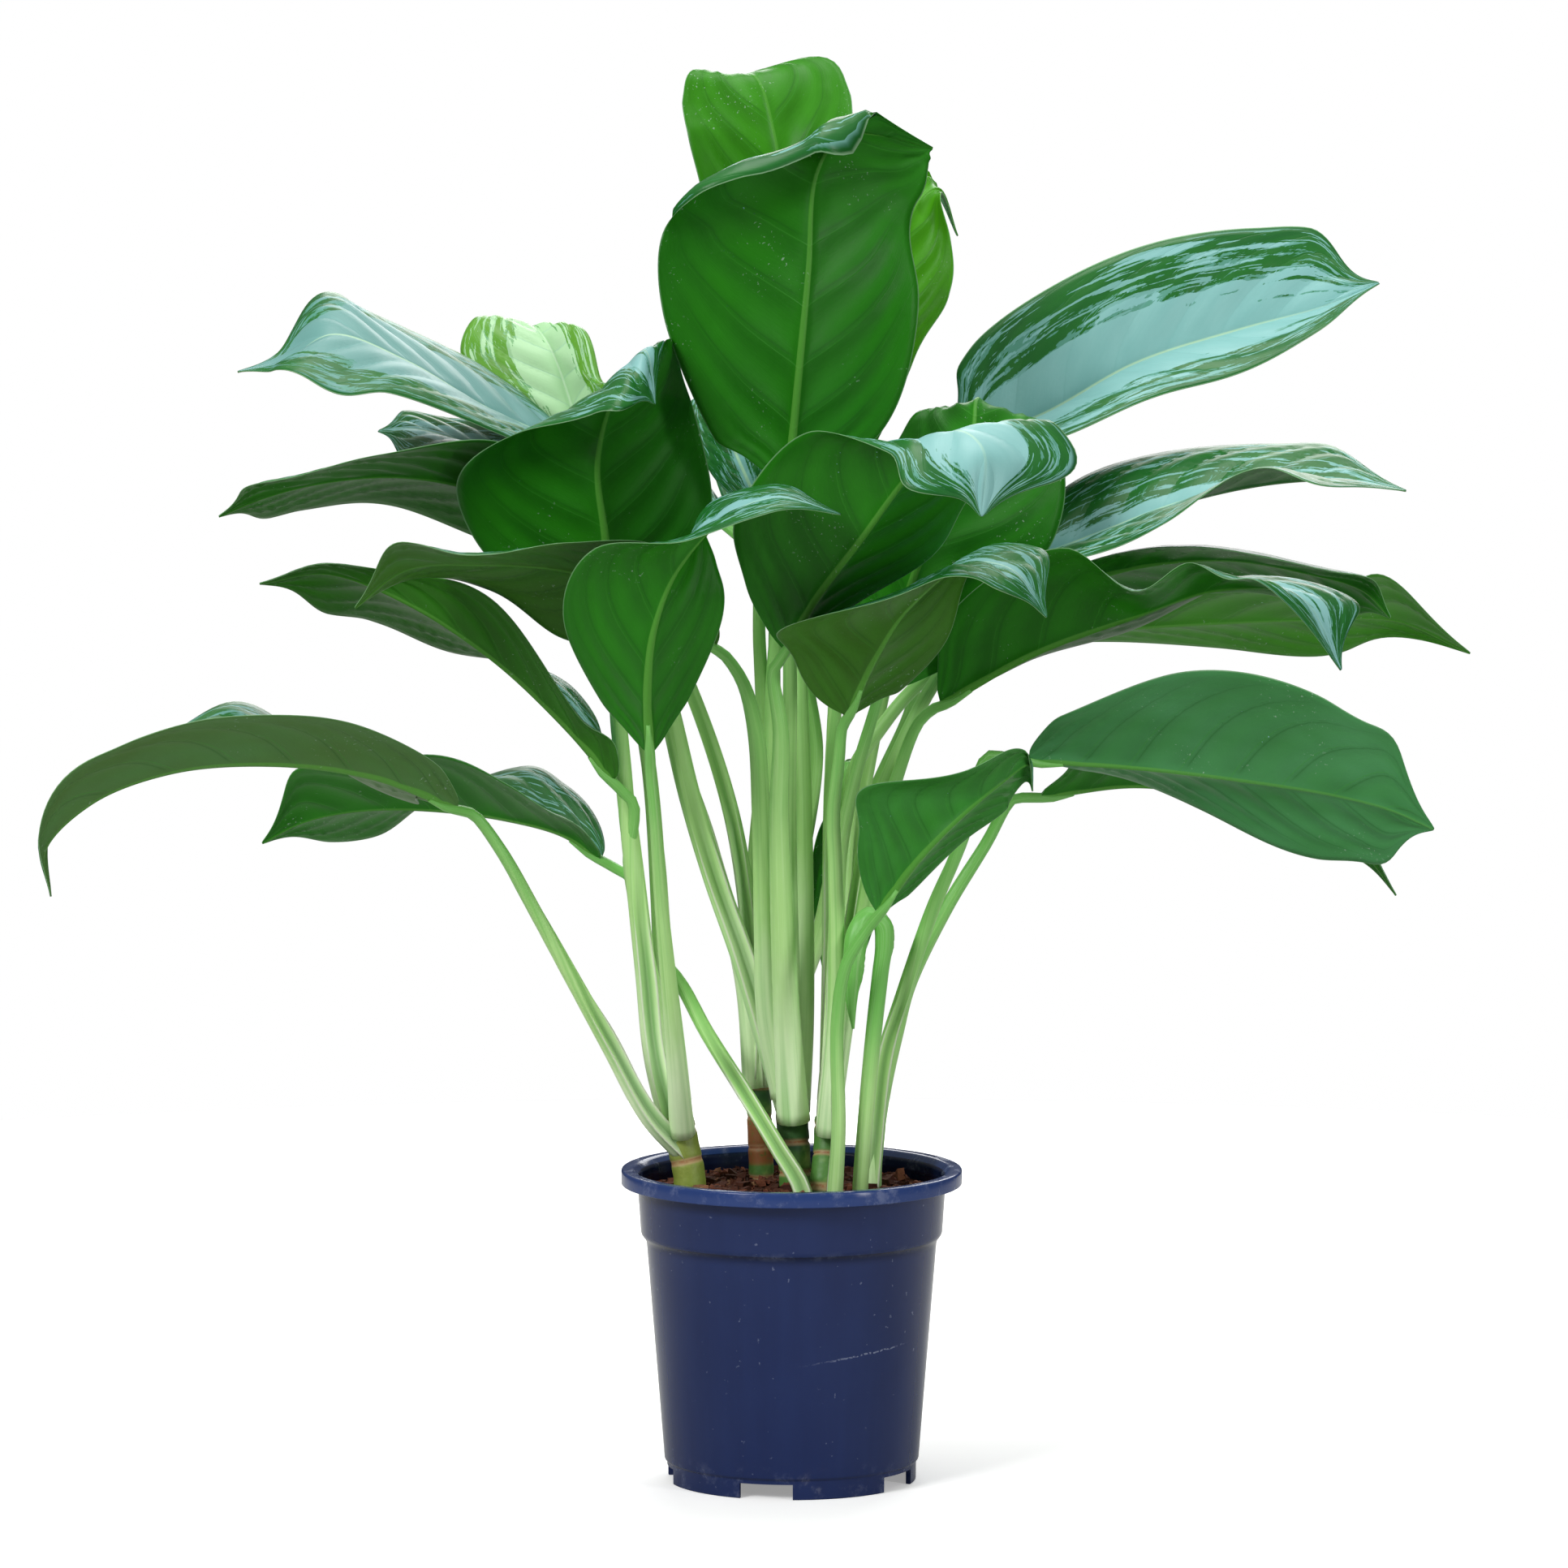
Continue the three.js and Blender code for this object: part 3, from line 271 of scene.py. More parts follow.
# %% The shoots and their leaves
SHOOTS = {
  "stem_left": {
    "foot": (-57, 5),
    "footRadius": 9,
    "cane": [(-57, 5, 168), (-60, 6, 184), (-64, 8, 204)],
    "leaves": {
      "leaf_left_low_long": {
        "stalk": [(-60, 4, 183), (-79, -8, 205), (-101, -22, 247), (-123, -38, 290), (-142, -50, 327),
          (-160, -62, 361)],
        "rib": [(-184, -74, 385), (-227, -112, 406), (-278, -150, 417), (-332, -182, 416), (-374, -202, 401),
          (-398, -208, 376), (-395, -206, 352)],
        "cuts": [
          { "at": 0.14, "left": (-194, -100, 410), "right": (-204, -40, 383) },
          { "at": 0.34, "left": (-238, -150, 438), "right": (-251, -68, 408) },
          { "at": 0.56, "left": (-297, -190, 446), "right": (-300, -108, 446) },
          { "at": 0.76, "left": (-356, -216, 433), "right": (-352, -156, 424) },
          { "at": 0.9, "left": (-398, -218, 394), "right": (-393, -186, 394) },
        ],
      },
      "leaf_left_broad": {
        "thick": (7.5, 4.6),
        "stalk": [(-65, 8, 192), (-76, 0, 238), (-81, -6, 285), (-86, -12, 332), (-91, -16, 378),
          (-96, -28, 433)],
        "rib": [(-100, -44, 493), (-102, -58, 531), (-106, -66, 574), (-96, -66, 613), (-80, -84, 636),
          (-74, -104, 608)],
        "cuts": [
          { "at": 0.14, "left": (-56, -24, 517), "right": (-156, -36, 511) },
          { "at": 0.36, "left": (-47, -20, 565), "right": (-182, -50, 558) },
          { "at": 0.6, "left": (-55, -20, 600), "right": (-148, -92, 591) },
          { "at": 0.78, "left": (-63, -46, 630), "right": (-105, -122, 605) },
          { "at": 0.9, "left": (-72, -74, 632), "right": (-85, -118, 608) },
        ],
      },
      "leaf_left_small_front": {
        "thick": (7.5, 3),
        "stalk": [(-61, 0, 195), (-64, -30, 243), (-68, -58, 291), (-72, -80, 339), (-75, -98, 386)],
        "rib": [(-77, -112, 419), (-78, -132, 455), (-74, -146, 490), (-61, -156, 523), (-35, -166, 552),
          (-7, -174, 562), (26, -180, 554)],
        "cuts": [
          { "at": 0.1, "left": (-61, -104, 439), "right": (-96, -104, 436) },
          { "at": 0.28, "left": (-39, -124, 494), "right": (-121, -134, 491) },
          { "at": 0.46, "left": (-42, -128, 525), "right": (-104, -176, 535) },
          { "at": 0.64, "left": (-45, -134, 555), "right": (-54, -200, 542) },
          { "at": 0.85, "left": (0, -158, 567), "right": (-9, -196, 557) },
        ],
      },
      "leaf_left_arch": {
        "stalk": [(-67, 12, 196), (-75, 6, 251), (-82, 0, 302), (-90, -12, 349)],
        "rib": [(-99, -30, 396), (-122, -46, 425), (-161, -64, 464), (-210, -80, 498), (-253, -90, 515),
          (-289, -96, 510)],
        "cuts": [
          { "at": 0.08, "left": (-98, -46, 414), "right": (-103, -10, 416) },
          { "at": 0.2, "left": (-116, -64, 432), "right": (-124, -6, 446) },
          { "at": 0.45, "left": (-165, -92, 501), "right": (-186, -20, 465) },
          { "at": 0.7, "left": (-221, -92, 516), "right": (-233, -34, 485) },
          { "at": 0.88, "left": (-263, -108, 520), "right": (-267, -74, 501) },
        ],
      },
      "leaf_left_mid": {
        "stalk": [(-66, 10, 198), (-71, 10, 260), (-74, 4, 329), (-79, -2, 398), (-90, -8, 466)],
        "rib": [(-111, -16, 521), (-163, -34, 553), (-211, -52, 565), (-255, -66, 563), (-288, -74, 555),
          (-312, -78, 545)],
        "cuts": [
          { "at": 0.22, "left": (-149, -52, 577), "right": (-160, 14, 522) },
          { "at": 0.48, "left": (-222, -96, 580), "right": (-222, -4, 546) },
          { "at": 0.72, "left": (-271, -104, 568), "right": (-269, -28, 545) },
          { "at": 0.88, "left": (-300, -92, 558), "right": (-296, -54, 544) },
        ],
      },
    },
  },
  "stem_centre": {
    "foot": (2, 8),
    "footRadius": 9,
    "cane": [(2, 8, 168), (1, 10, 186), (0, 12, 208)],
    "leaves": {
      "leaf_centre_front": {
        "thick": (9.5, 4.8),
        "stalk": [(1, 4, 201), (-2, -6, 248), (-5, -26, 310), (-7, -48, 380), (-6, -66, 427)],
        "rib": [(-3, -84, 473), (13, -112, 503), (38, -142, 539), (62, -172, 574), (86, -200, 600),
          (101, -222, 591), (100, -232, 557)],
        "cuts": [
          { "at": 0.12, "left": (24, -90, 491), "right": (-22, -98, 503) },
          { "at": 0.32, "left": (72, -110, 524), "right": (-29, -120, 547) },
          { "at": 0.55, "left": (98, -150, 566), "right": (11, -160, 596) },
          { "at": 0.74, "left": (136, -176, 604), "right": (53, -216, 589) },
          { "at": 0.9, "left": (131, -206, 571), "right": (81, -236, 568) },
        ],
      },
      "leaf_crown_front": {
        "stalk": [(-1, 8, 205), (-1, 4, 283), (-2, -8, 375), (-1, -30, 458)],
        "rib": [(-2, -58, 561), (4, -70, 625), (9, -74, 679), (13, -72, 730), (25, -62, 750), (46, -42, 751),
          (77, -16, 743)],
        "cuts": [
          { "at": 0.15, "left": (46, -50, 588), "right": (-41, -50, 586) },
          { "at": 0.38, "left": (67, -54, 650), "right": (-69, -56, 656) },
          { "at": 0.55, "left": (65, -50, 684), "right": (-69, -74, 698) },
          { "at": 0.66, "left": (64, -44, 704), "right": (-52, -90, 724), "rightRoll": (2, -10, -4) },
          { "at": 0.76, "left": (70, -36, 718), "right": (-20, -90, 741), "rightRoll": (2, -11, -9) },
          { "at": 0.84, "left": (74, -28, 730), "right": (11, -78, 754), "rightRoll": (0, -12, -11) },
          { "at": 0.9, "left": (75, -22, 736), "right": (28, -64, 762), "rightRoll": (5, -16, -20) },
          { "at": 0.93, "left": (76, -20, 739), "right": (46, -48, 763) },
        ],
      },
      "leaf_left_strip": {
        "thick": (8, 4.6),
        "stalk": [(-4, 10, 214), (-13, 2, 261), (-15, -8, 308), (-17, -24, 377), (-20, -38, 424),
          (-27, -50, 452)],
        "rib": [(-43, -58, 472), (-78, -86, 502), (-121, -106, 518), (-169, -126, 523), (-208, -140, 521),
          (-235, -146, 501)],
        "cuts": [
          { "at": 0.18, "left": (-64, -98, 522), "right": (-82, -56, 470) },
          { "at": 0.42, "left": (-120, -160, 537), "right": (-127, -72, 480) },
          { "at": 0.68, "left": (-176, -178, 532), "right": (-166, -90, 507) },
          { "at": 0.88, "left": (-220, -170, 529), "right": (-210, -116, 513) },
        ],
      },
      "leaf_left_silver": {
        "thick": (8, 5.4),
        "stalk": [(2, 14, 195), (-12, 16, 241), (-27, 16, 291), (-43, 18, 336), (-57, 20, 382),
          (-70, 24, 436),
          (-93, 30, 508)],
        "rib": [(-122, 34, 576), (-169, 20, 598), (-213, 4, 625), (-253, -8, 640), (-279, -20, 626),
          (-304, -30, 621)],
        "cuts": [
          { "at": 0.25, "left": (-163, -16, 587), "right": (-171, 70, 616) },
          { "at": 0.48, "left": (-220, -48, 611), "right": (-236, 58, 649) },
          { "at": 0.68, "left": (-255, -60, 614), "right": (-261, 44, 660) },
          { "at": 0.86, "left": (-285, -44, 622), "right": (-283, 4, 630) },
        ],
      },
      "leaf_crown_back": {
        "stalk": [(4, 20, 204), (7, 24, 258), (7, 32, 372), (5, 38, 439), (3, 44, 507)],
        "rib": [(2, 52, 571), (0, 68, 642), (-4, 76, 705), (-10, 82, 748), (-20, 98, 778), (-38, 124, 776)],
        "cuts": [
          { "at": 0.25, "left": (42, 64, 611), "right": (-43, 64, 611) },
          { "at": 0.5, "left": (42, 68, 694), "right": (-47, 68, 703) },
          { "at": 0.7, "left": (34, 72, 750), "right": (-57, 72, 748) },
          { "at": 0.82, "left": (31, 88, 772), "right": (-60, 84, 768) },
          { "at": 0.92, "left": (-2, 112, 787), "right": (-48, 104, 782) },
        ],
      },
    },
  },
  "stem_back": {
    "foot": (-17, 38),
    "footRadius": 7,
    "cane": [(-17, 38, 168), (-18, 39, 192), (-18, 40, 222)],
    "leaves": {
      "leaf_left_bright": {
        "stalk": [(-18, 38, 215), (-21, 42, 279), (-34, 52, 369), (-66, 58, 460)],
        "rib": [(-115, 72, 563), (-124, 88, 596), (-136, 104, 627), (-147, 128, 637), (-155, 160, 623)],
        "cuts": [
          { "at": 0.25, "left": (-159, 84, 594), "right": (-98, 64, 602) },
          { "at": 0.5, "left": (-185, 104, 623), "right": (-108, 76, 610) },
          { "at": 0.75, "left": (-176, 130, 642), "right": (-123, 108, 638) },
        ],
      },
      "leaf_left_shaded": {
        "stalk": [(-21, 36, 215), (-27, 38, 279), (-52, 46, 370), (-84, 54, 461), (-107, 40, 508)],
        "rib": [(-119, 16, 549), (-156, 36, 568), (-191, 56, 579), (-214, 70, 583), (-232, 80, 581)],
        "cuts": [
          { "at": 0.3, "left": (-150, -6, 560), "right": (-153, 62, 582) },
          { "at": 0.6, "left": (-191, 16, 570), "right": (-199, 94, 588) },
          { "at": 0.85, "left": (-220, 52, 572), "right": (-222, 96, 589) },
        ],
      },
      "leaf_inner": {
        "stalk": [(-17, 36, 220), (-14, 40, 324), (-11, 38, 438)],
        "rib": [(-18, 34, 542), (-27, 34, 562), (-36, 38, 582), (-44, 44, 598), (-50, 52, 606)],
        "cuts": [
          { "at": 0.35, "left": (-46, 28, 566), "right": (-10, 34, 574) },
          { "at": 0.7, "left": (-58, 38, 594), "right": (-28, 44, 602) },
        ],
      },
      "leaf_back_left": {
        "stalk": [(-18, 44, 219), (-21, 58, 322), (-16, 66, 400), (-18, 68, 462)],
        "rib": [(-38, 72, 530), (-74, 100, 562), (-102, 146, 582), (-122, 194, 578), (-134, 236, 552)],
        "cuts": [
          { "at": 0.35, "left": (-120, 92, 566), "right": (-66, 144, 566) },
          { "at": 0.7, "left": (-146, 164, 580), "right": (-94, 204, 582) },
        ],
      },
      "leaf_back_centre": {
        "stalk": [(-16, 46, 218), (-12, 64, 322), (-10, 70, 420)],
        "rib": [(-8, 74, 500), (-4, 112, 560), (0, 160, 600), (2, 206, 604), (2, 238, 580)],
        "cuts": [
          { "at": 0.35, "left": (-48, 126, 588), "right": (46, 126, 588) },
          { "at": 0.7, "left": (-36, 188, 612), "right": (38, 188, 612) },
        ],
      },
      "leaf_back_right": {
        "stalk": [(-15, 42, 219), (2, 62, 322), (14, 62, 400)],
        "rib": [(22, 64, 474), (62, 100, 530), (96, 146, 560), (120, 196, 558), (132, 236, 530)],
        "cuts": [
          { "at": 0.35, "left": (34, 144, 549), "right": (118, 92, 549) },
          { "at": 0.7, "left": (84, 204, 564), "right": (146, 164, 564) },
        ],
      },
      "leaf_back_low": {
        "stalk": [(-14, 42, 214), (2, 58, 262), (16, 62, 300)],
        "rib": [(32, 62, 375), (31, 76, 339), (29, 86, 301), (25, 92, 251)],
        "cuts": [
          { "at": 0.3, "left": (14, 66, 345), "right": (50, 66, 345) },
          { "at": 0.65, "left": (15, 78, 297), "right": (44, 78, 297) },
        ],
      },
    },
  },
  "stem_right": {
    "foot": (18, -8),
    "footRadius": 8,
    "cane": [(18, -8, 169), (20, -2, 184), (21, 4, 204)],
    "leaves": {
      "leaf_centre_low": {
        "stalk": [(20, -12, 195), (25, -22, 269), (24, -38, 347), (23, -44, 379), (26, -54, 410)],
        "rib": [(31, -62, 435), (45, -84, 468), (64, -108, 499), (94, -126, 523), (120, -142, 520),
          (137, -146, 496)],
        "cuts": [
          { "at": 0.13, "left": (56, -50, 445), "right": (4, -88, 466) },
          { "at": 0.3, "left": (83, -60, 475), "right": (-5, -126, 487) },
          { "at": 0.52, "left": (98, -66, 516), "right": (54, -162, 508) },
          { "at": 0.75, "left": (126, -96, 531), "right": (97, -164, 519) },
          { "at": 0.9, "left": (138, -118, 515), "right": (123, -156, 507) },
        ],
      },
      "leaf_centre_right": {
        "stalk": [(21, -6, 199), (24, -9, 285), (27, -16, 354), (36, -22, 400)],
        "rib": [(49, -30, 446), (68, -42, 512), (86, -44, 551), (99, -36, 585), (102, -14, 605),
          (112, 20, 590)],
        "cuts": [
          { "at": 0.2, "left": (101, -20, 472), "right": (29, -10, 493) },
          { "at": 0.45, "left": (139, -20, 521), "right": (34, -20, 548) },
          { "at": 0.7, "left": (149, -14, 568), "right": (60, -14, 583) },
          { "at": 0.86, "left": (132, 0, 594), "right": (82, 0, 599) },
        ],
      },
      "leaf_right_arch": {
        "stalk": [(21, -2, 202), (34, -4, 285), (49, -8, 358), (58, -12, 394), (70, -18, 426)],
        "rib": [(83, -24, 437), (133, -48, 467), (184, -66, 488), (232, -80, 505), (276, -88, 502),
          (299, -88, 462)],
        "cuts": [
          { "at": 0.2, "left": (128, 12, 456), "right": (90, -40, 489) },
          { "at": 0.41, "left": (186, 2, 475), "right": (149, -82, 527) },
          { "at": 0.53, "left": (222, -20, 495), "right": (186, -116, 507) },
          { "at": 0.65, "left": (252, -36, 508), "right": (216, -100, 521) },
          { "at": 0.76, "left": (286, -46, 506), "right": (238, -110, 513) },
          { "at": 0.86, "left": (310, -58, 490), "right": (262, -112, 506) },
        ],
      },
      "leaf_right_behind": {
        "stalk": [(21, 8, 199), (26, 14, 282), (31, 22, 364), (36, 26, 398), (48, 30, 416), (66, 34, 438),
          (93, 38, 460)],
        "rib": [(133, 34, 488), (188, 40, 507), (242, 40, 512), (287, 34, 505), (318, 26, 496),
          (333, 20, 481)],
        "cuts": [
          { "at": 0.25, "left": (194, 84, 482), "right": (169, 26, 512) },
          { "at": 0.5, "left": (240, 84, 490), "right": (224, -4, 522) },
          { "at": 0.75, "left": (285, 72, 485), "right": (299, 4, 508) },
          { "at": 0.9, "left": (316, 44, 481), "right": (326, 14, 498) },
        ],
      },
      "leaf_right_far": {
        "stalk": [(21, 12, 195), (29, 30, 280), (43, 54, 369), (66, 74, 422)],
        "rib": [(94, 90, 461), (164, 128, 464), (235, 166, 465), (302, 202, 464), (351, 226, 461),
          (394, 240, 441)],
        "cuts": [
          { "at": 0.25, "left": (165, 170, 454), "right": (162, 80, 490) },
          { "at": 0.5, "left": (246, 214, 447), "right": (241, 118, 493) },
          { "at": 0.75, "left": (318, 236, 442), "right": (313, 160, 485) },
          { "at": 0.9, "left": (359, 240, 450), "right": (359, 198, 475) },
        ],
      },
      "leaf_right_second": {
        "stalk": [(21, 4, 199), (31, 0, 284), (47, -2, 375), (74, 2, 438), (103, 10, 480)],
        "rib": [(129, 20, 512), (173, 22, 529), (218, 20, 546), (267, 10, 557), (307, 0, 559),
          (339, -10, 554)],
        "cuts": [
          { "at": 0.2, "left": (152, 50, 549), "right": (165, -14, 519) },
          { "at": 0.45, "left": (207, 66, 569), "right": (207, -32, 539) },
          { "at": 0.7, "left": (272, 56, 575), "right": (260, -44, 569) },
          { "at": 0.88, "left": (314, 26, 568), "right": (305, -36, 558) },
        ],
      },
      "leaf_right_upper": {
        "stalk": [(22, 14, 194), (28, 30, 280), (38, 44, 370), (57, 56, 460), (79, 64, 532)],
        "rib": [(93, 70, 572), (143, 84, 591), (194, 98, 618), (254, 116, 636), (301, 128, 648),
          (333, 136, 661)],
        "cuts": [
          { "at": 0.2, "left": (102, 90, 626), "right": (146, 30, 580) },
          { "at": 0.45, "left": (183, 118, 676), "right": (204, 50, 603) },
          { "at": 0.7, "left": (262, 140, 691), "right": (266, 72, 621) },
          { "at": 0.88, "left": (311, 146, 676), "right": (311, 108, 647) },
        ],
      },
      "leaf_crown_right": {
        "stalk": [(21, 10, 197), (22, 16, 282), (22, 20, 373), (25, 20, 463)],
        "rib": [(31, 20, 561), (48, 36, 620), (58, 46, 668), (68, 58, 706), (82, 74, 717), (93, 94, 690)],
        "cuts": [
          { "at": 0.25, "left": (66, 26, 624), "right": (18, 18, 610) },
          { "at": 0.5, "left": (86, 34, 660), "right": (24, 40, 672) },
          { "at": 0.7, "left": (87, 46, 692), "right": (44, 62, 716) },
          { "at": 0.86, "left": (85, 62, 714), "right": (76, 86, 727) },
        ],
      },
    },
  },
  "stem_low_left": {
    "foot": (7, -24),
    "footRadius": 6,
    "leaves": {
      "leaf_left_low": {
        "thick": (5.6, 3.6),
        "stalk": [(6, -24, 166), (-7, -18, 188), (-25, -4, 216), (-48, 10, 251), (-62, 18, 276),
          (-84, 22, 304)],
        "rib": [(-106, 6, 348), (-126, 9, 361), (-158, 16, 369), (-202, 28, 373), (-243, 40, 371),
          (-275, 50, 363), (-297, 54, 351)],
        "cuts": [
          { "at": 0.18, "left": (-128, -22, 374), "right": (-126, 46, 383) },
          { "at": 0.32, "left": (-156, -28, 392), "right": (-150, 60, 393) },
          { "at": 0.5, "left": (-195, -24, 408), "right": (-204, 72, 373) },
          { "at": 0.68, "left": (-245, -4, 401), "right": (-236, 80, 352) },
          { "at": 0.86, "left": (-282, 26, 385), "right": (-272, 78, 351) },
        ],
      },
    },
  },
  "stem_small": {
    "foot": (24, -36),
    "footRadius": 5,
    "leaves": {
      "leaf_small_fold": {
        "thick": (4.6, 3.4),
        "stalk": [(24, -36, 162), (26, -38, 205), (25, -44, 261), (30, -53, 296)],
        "rib": [(48, -66, 326), (68, -84, 356), (90, -92, 380), (115, -88, 401), (130, -76, 409),
          (132, -70, 394)],
        "cuts": [
          { "at": 0.2, "left": (68, -60, 340), "right": (38, -72, 367) },
          { "at": 0.45, "left": (95, -66, 367), "right": (41, -90, 397) },
          { "at": 0.7, "left": (117, -70, 384), "right": (94, -108, 408) },
          { "at": 0.88, "left": (126, -66, 397), "right": (127, -88, 417) },
        ],
      },
    },
  },
  "stem_low_right": {
    "foot": (44, 6),
    "footRadius": 6,
    "leaves": {
      "leaf_right_low_front": {
        "thick": (5.6, 3.6),
        "stalk": [(44, 6, 162), (47, 4, 192), (52, 0, 238), (62, -6, 273), (78, -16, 322), (94, -25, 362)],
        "rib": [(131, -40, 408), (189, -62, 406), (244, -78, 401), (294, -88, 394), (326, -92, 386),
          (350, -90, 375)],
        "cuts": [
          { "at": 0.15, "left": (164, -14, 399), "right": (148, -72, 434) },
          { "at": 0.42, "left": (225, -40, 381), "right": (214, -110, 462) },
          { "at": 0.7, "left": (289, -60, 356), "right": (285, -118, 450) },
          { "at": 0.8, "left": (312, -66, 355), "right": (311, -112, 435) },
          { "at": 0.88, "left": (330, -76, 360), "right": (331, -102, 416) },
        ],
      },
      "leaf_right_low_behind": {
        "stalk": [(45, 8, 180), (50, 12, 215), (58, 14, 250), (65, 14, 276), (86, 14, 319), (108, 14, 355)],
        "rib": [(138, 14, 382), (193, 34, 386), (248, 52, 376), (294, 66, 361), (325, 74, 341),
          (341, 76, 319)],
        "cuts": [
          { "at": 0.25, "left": (185, 74, 382), "right": (177, -8, 410) },
          { "at": 0.5, "left": (246, 104, 368), "right": (236, 6, 406) },
          { "at": 0.75, "left": (292, 104, 349), "right": (294, 30, 383) },
        ],
      },
    },
  },
}

leaf_count = sum(len(shoot["leaves"]) for shoot in SHOOTS.values())
print(len(SHOOTS), "shoots carry", leaf_count, "leaves")

# %% [markdown]
# ## From points to a piece
#
# All pieces are made the same way: a grid or a list of points in millimetres, the faces between them, and
# numbers stored on the points, which the materials read. Stored numbers such as the share of the way along
# the midrib stay with the leaf wherever it bends, which a position in space doesn't.

# %% Making a piece
def make_piece(name, points, faces, finishes, stands_for, stored=None, finish_of=None):
    mesh = bpy.data.meshes.new(name)
    mesh.from_pydata((np.asarray(points) * MM).tolist(), [], faces)
    for finish in finishes:
        mesh.materials.append(finish)
    for label, values in (stored or {}).items():
        attribute = mesh.attributes.new(label, "FLOAT", "POINT")
        attribute.data.foreach_set("value", np.asarray(values, np.float32).ravel())
    if finish_of is not None:
        mesh.polygons.foreach_set("material_index", np.asarray(finish_of, np.int32))
    mesh.polygons.foreach_set("use_smooth", np.ones(len(faces), bool))
    mesh.update()
    mesh.validate()
    piece = bpy.data.objects.new(name, mesh)
    bpy.context.scene.collection.objects.link(piece)
    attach(piece, "root")
    if stands_for:
        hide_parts(stands_for)
    return piece


def grid_faces(rows, columns, first=0, flip=False, closed=False):
    """The quads of a grid of points, row after row."""
    faces = []
    wide = columns if closed else columns - 1
    for i in range(rows - 1):
        for j in range(wide):
            a = first + i * columns + j
            b = first + i * columns + (j + 1) % columns
            quad = (a, b, b + columns, a + columns)
            faces.append(quad[::-1] if flip else quad)
    return faces


def tube_faces(rings, sides):
    """The quads of a closed tube, with a flat cap at each end."""
    caps = [tuple(range(sides))[::-1], tuple(range((rings - 1) * sides, rings * sides))]
    return grid_faces(rings, sides, closed=True) + caps


print("pieces can be made")

# %% [markdown]
# ## The shape of a blade
#
# A blade is full and rounded at the stalk, widest before the middle and drawn out into a drip tip. Between
# the cuts the margins follow a smooth line. The blade isn't a flat sheet: each half bows up, the tissue
# swells between the side veins, the midrib is a ridge below and a groove above, and the margin is thin. All
# of that is modelled in the mesh, because it decides how the gloss runs over the leaf.

# %% Blade outline and margins
BLADE_ARCH = 3
BLADE_FOOT = 2.4
BLADE_END = 0.7
COLUMNS_TO_RIB = 1.35  # above 1 the columns of points crowd towards the midrib
LOBE_SHARE = 0.15
BLADE_THICKNESS = 0.7
ROLL_START = 0.82
ROLL_END = 0.92
ROLL_BULGE = 0.3
FULL_ROLL = 6
VEIN_PAIRS = 8
VEIN_SWEEP = 0.20
VEIN_CURL = 0.20
QUILT = 2.0
QUILT_REST = 0.6
RIDGE_HEIGHT = 2.2
GROOVE_DEPTH = 0.7
BLADE_ROWS = 84
BLADE_COLUMNS = 37


def outline(u):
    drip_tip = 1 - 0.6 * smooth(0.8, 1, u)
    return np.maximum(0, np.sin(np.pi * np.asarray(u, float) ** 0.76)) ** 0.85 * drip_tip


def through_cuts(places, reaches, u):
    """The margin's reach at u: a smooth line through the cuts, level past the first and the last."""
    places = np.array(places)
    slopes = np.zeros_like(reaches)
    slopes[1:-1] = (reaches[2:] - reaches[:-2]) / (places[2:] - places[:-2])[:, None]
    u = np.clip(u, places[0], places[-1])
    k = np.clip(np.searchsorted(places, u, "right") - 1, 0, len(places) - 2)
    span = (places[k + 1] - places[k])[:, None]
    t = (u - places[k])[:, None] / span
    return ((2 * t ** 3 - 3 * t ** 2 + 1) * reaches[k] + (t ** 3 - 2 * t ** 2 + t) * span * slopes[k]
            + (3 * t ** 2 - 2 * t ** 3) * reaches[k + 1] + (t ** 3 - t ** 2) * span * slopes[k + 1])


def vein_phase(u, across):
    """Counts the side veins: a whole number on each of them, sweeping from the midrib to the tip."""
    a = np.abs(across)
    return VEIN_PAIRS * (u - VEIN_SWEEP * a - VEIN_CURL * a ** 4)


print("widest at", round(float(np.linspace(0, 1, 101)[np.argmax(outline(np.linspace(0, 1, 101)))]), 2))

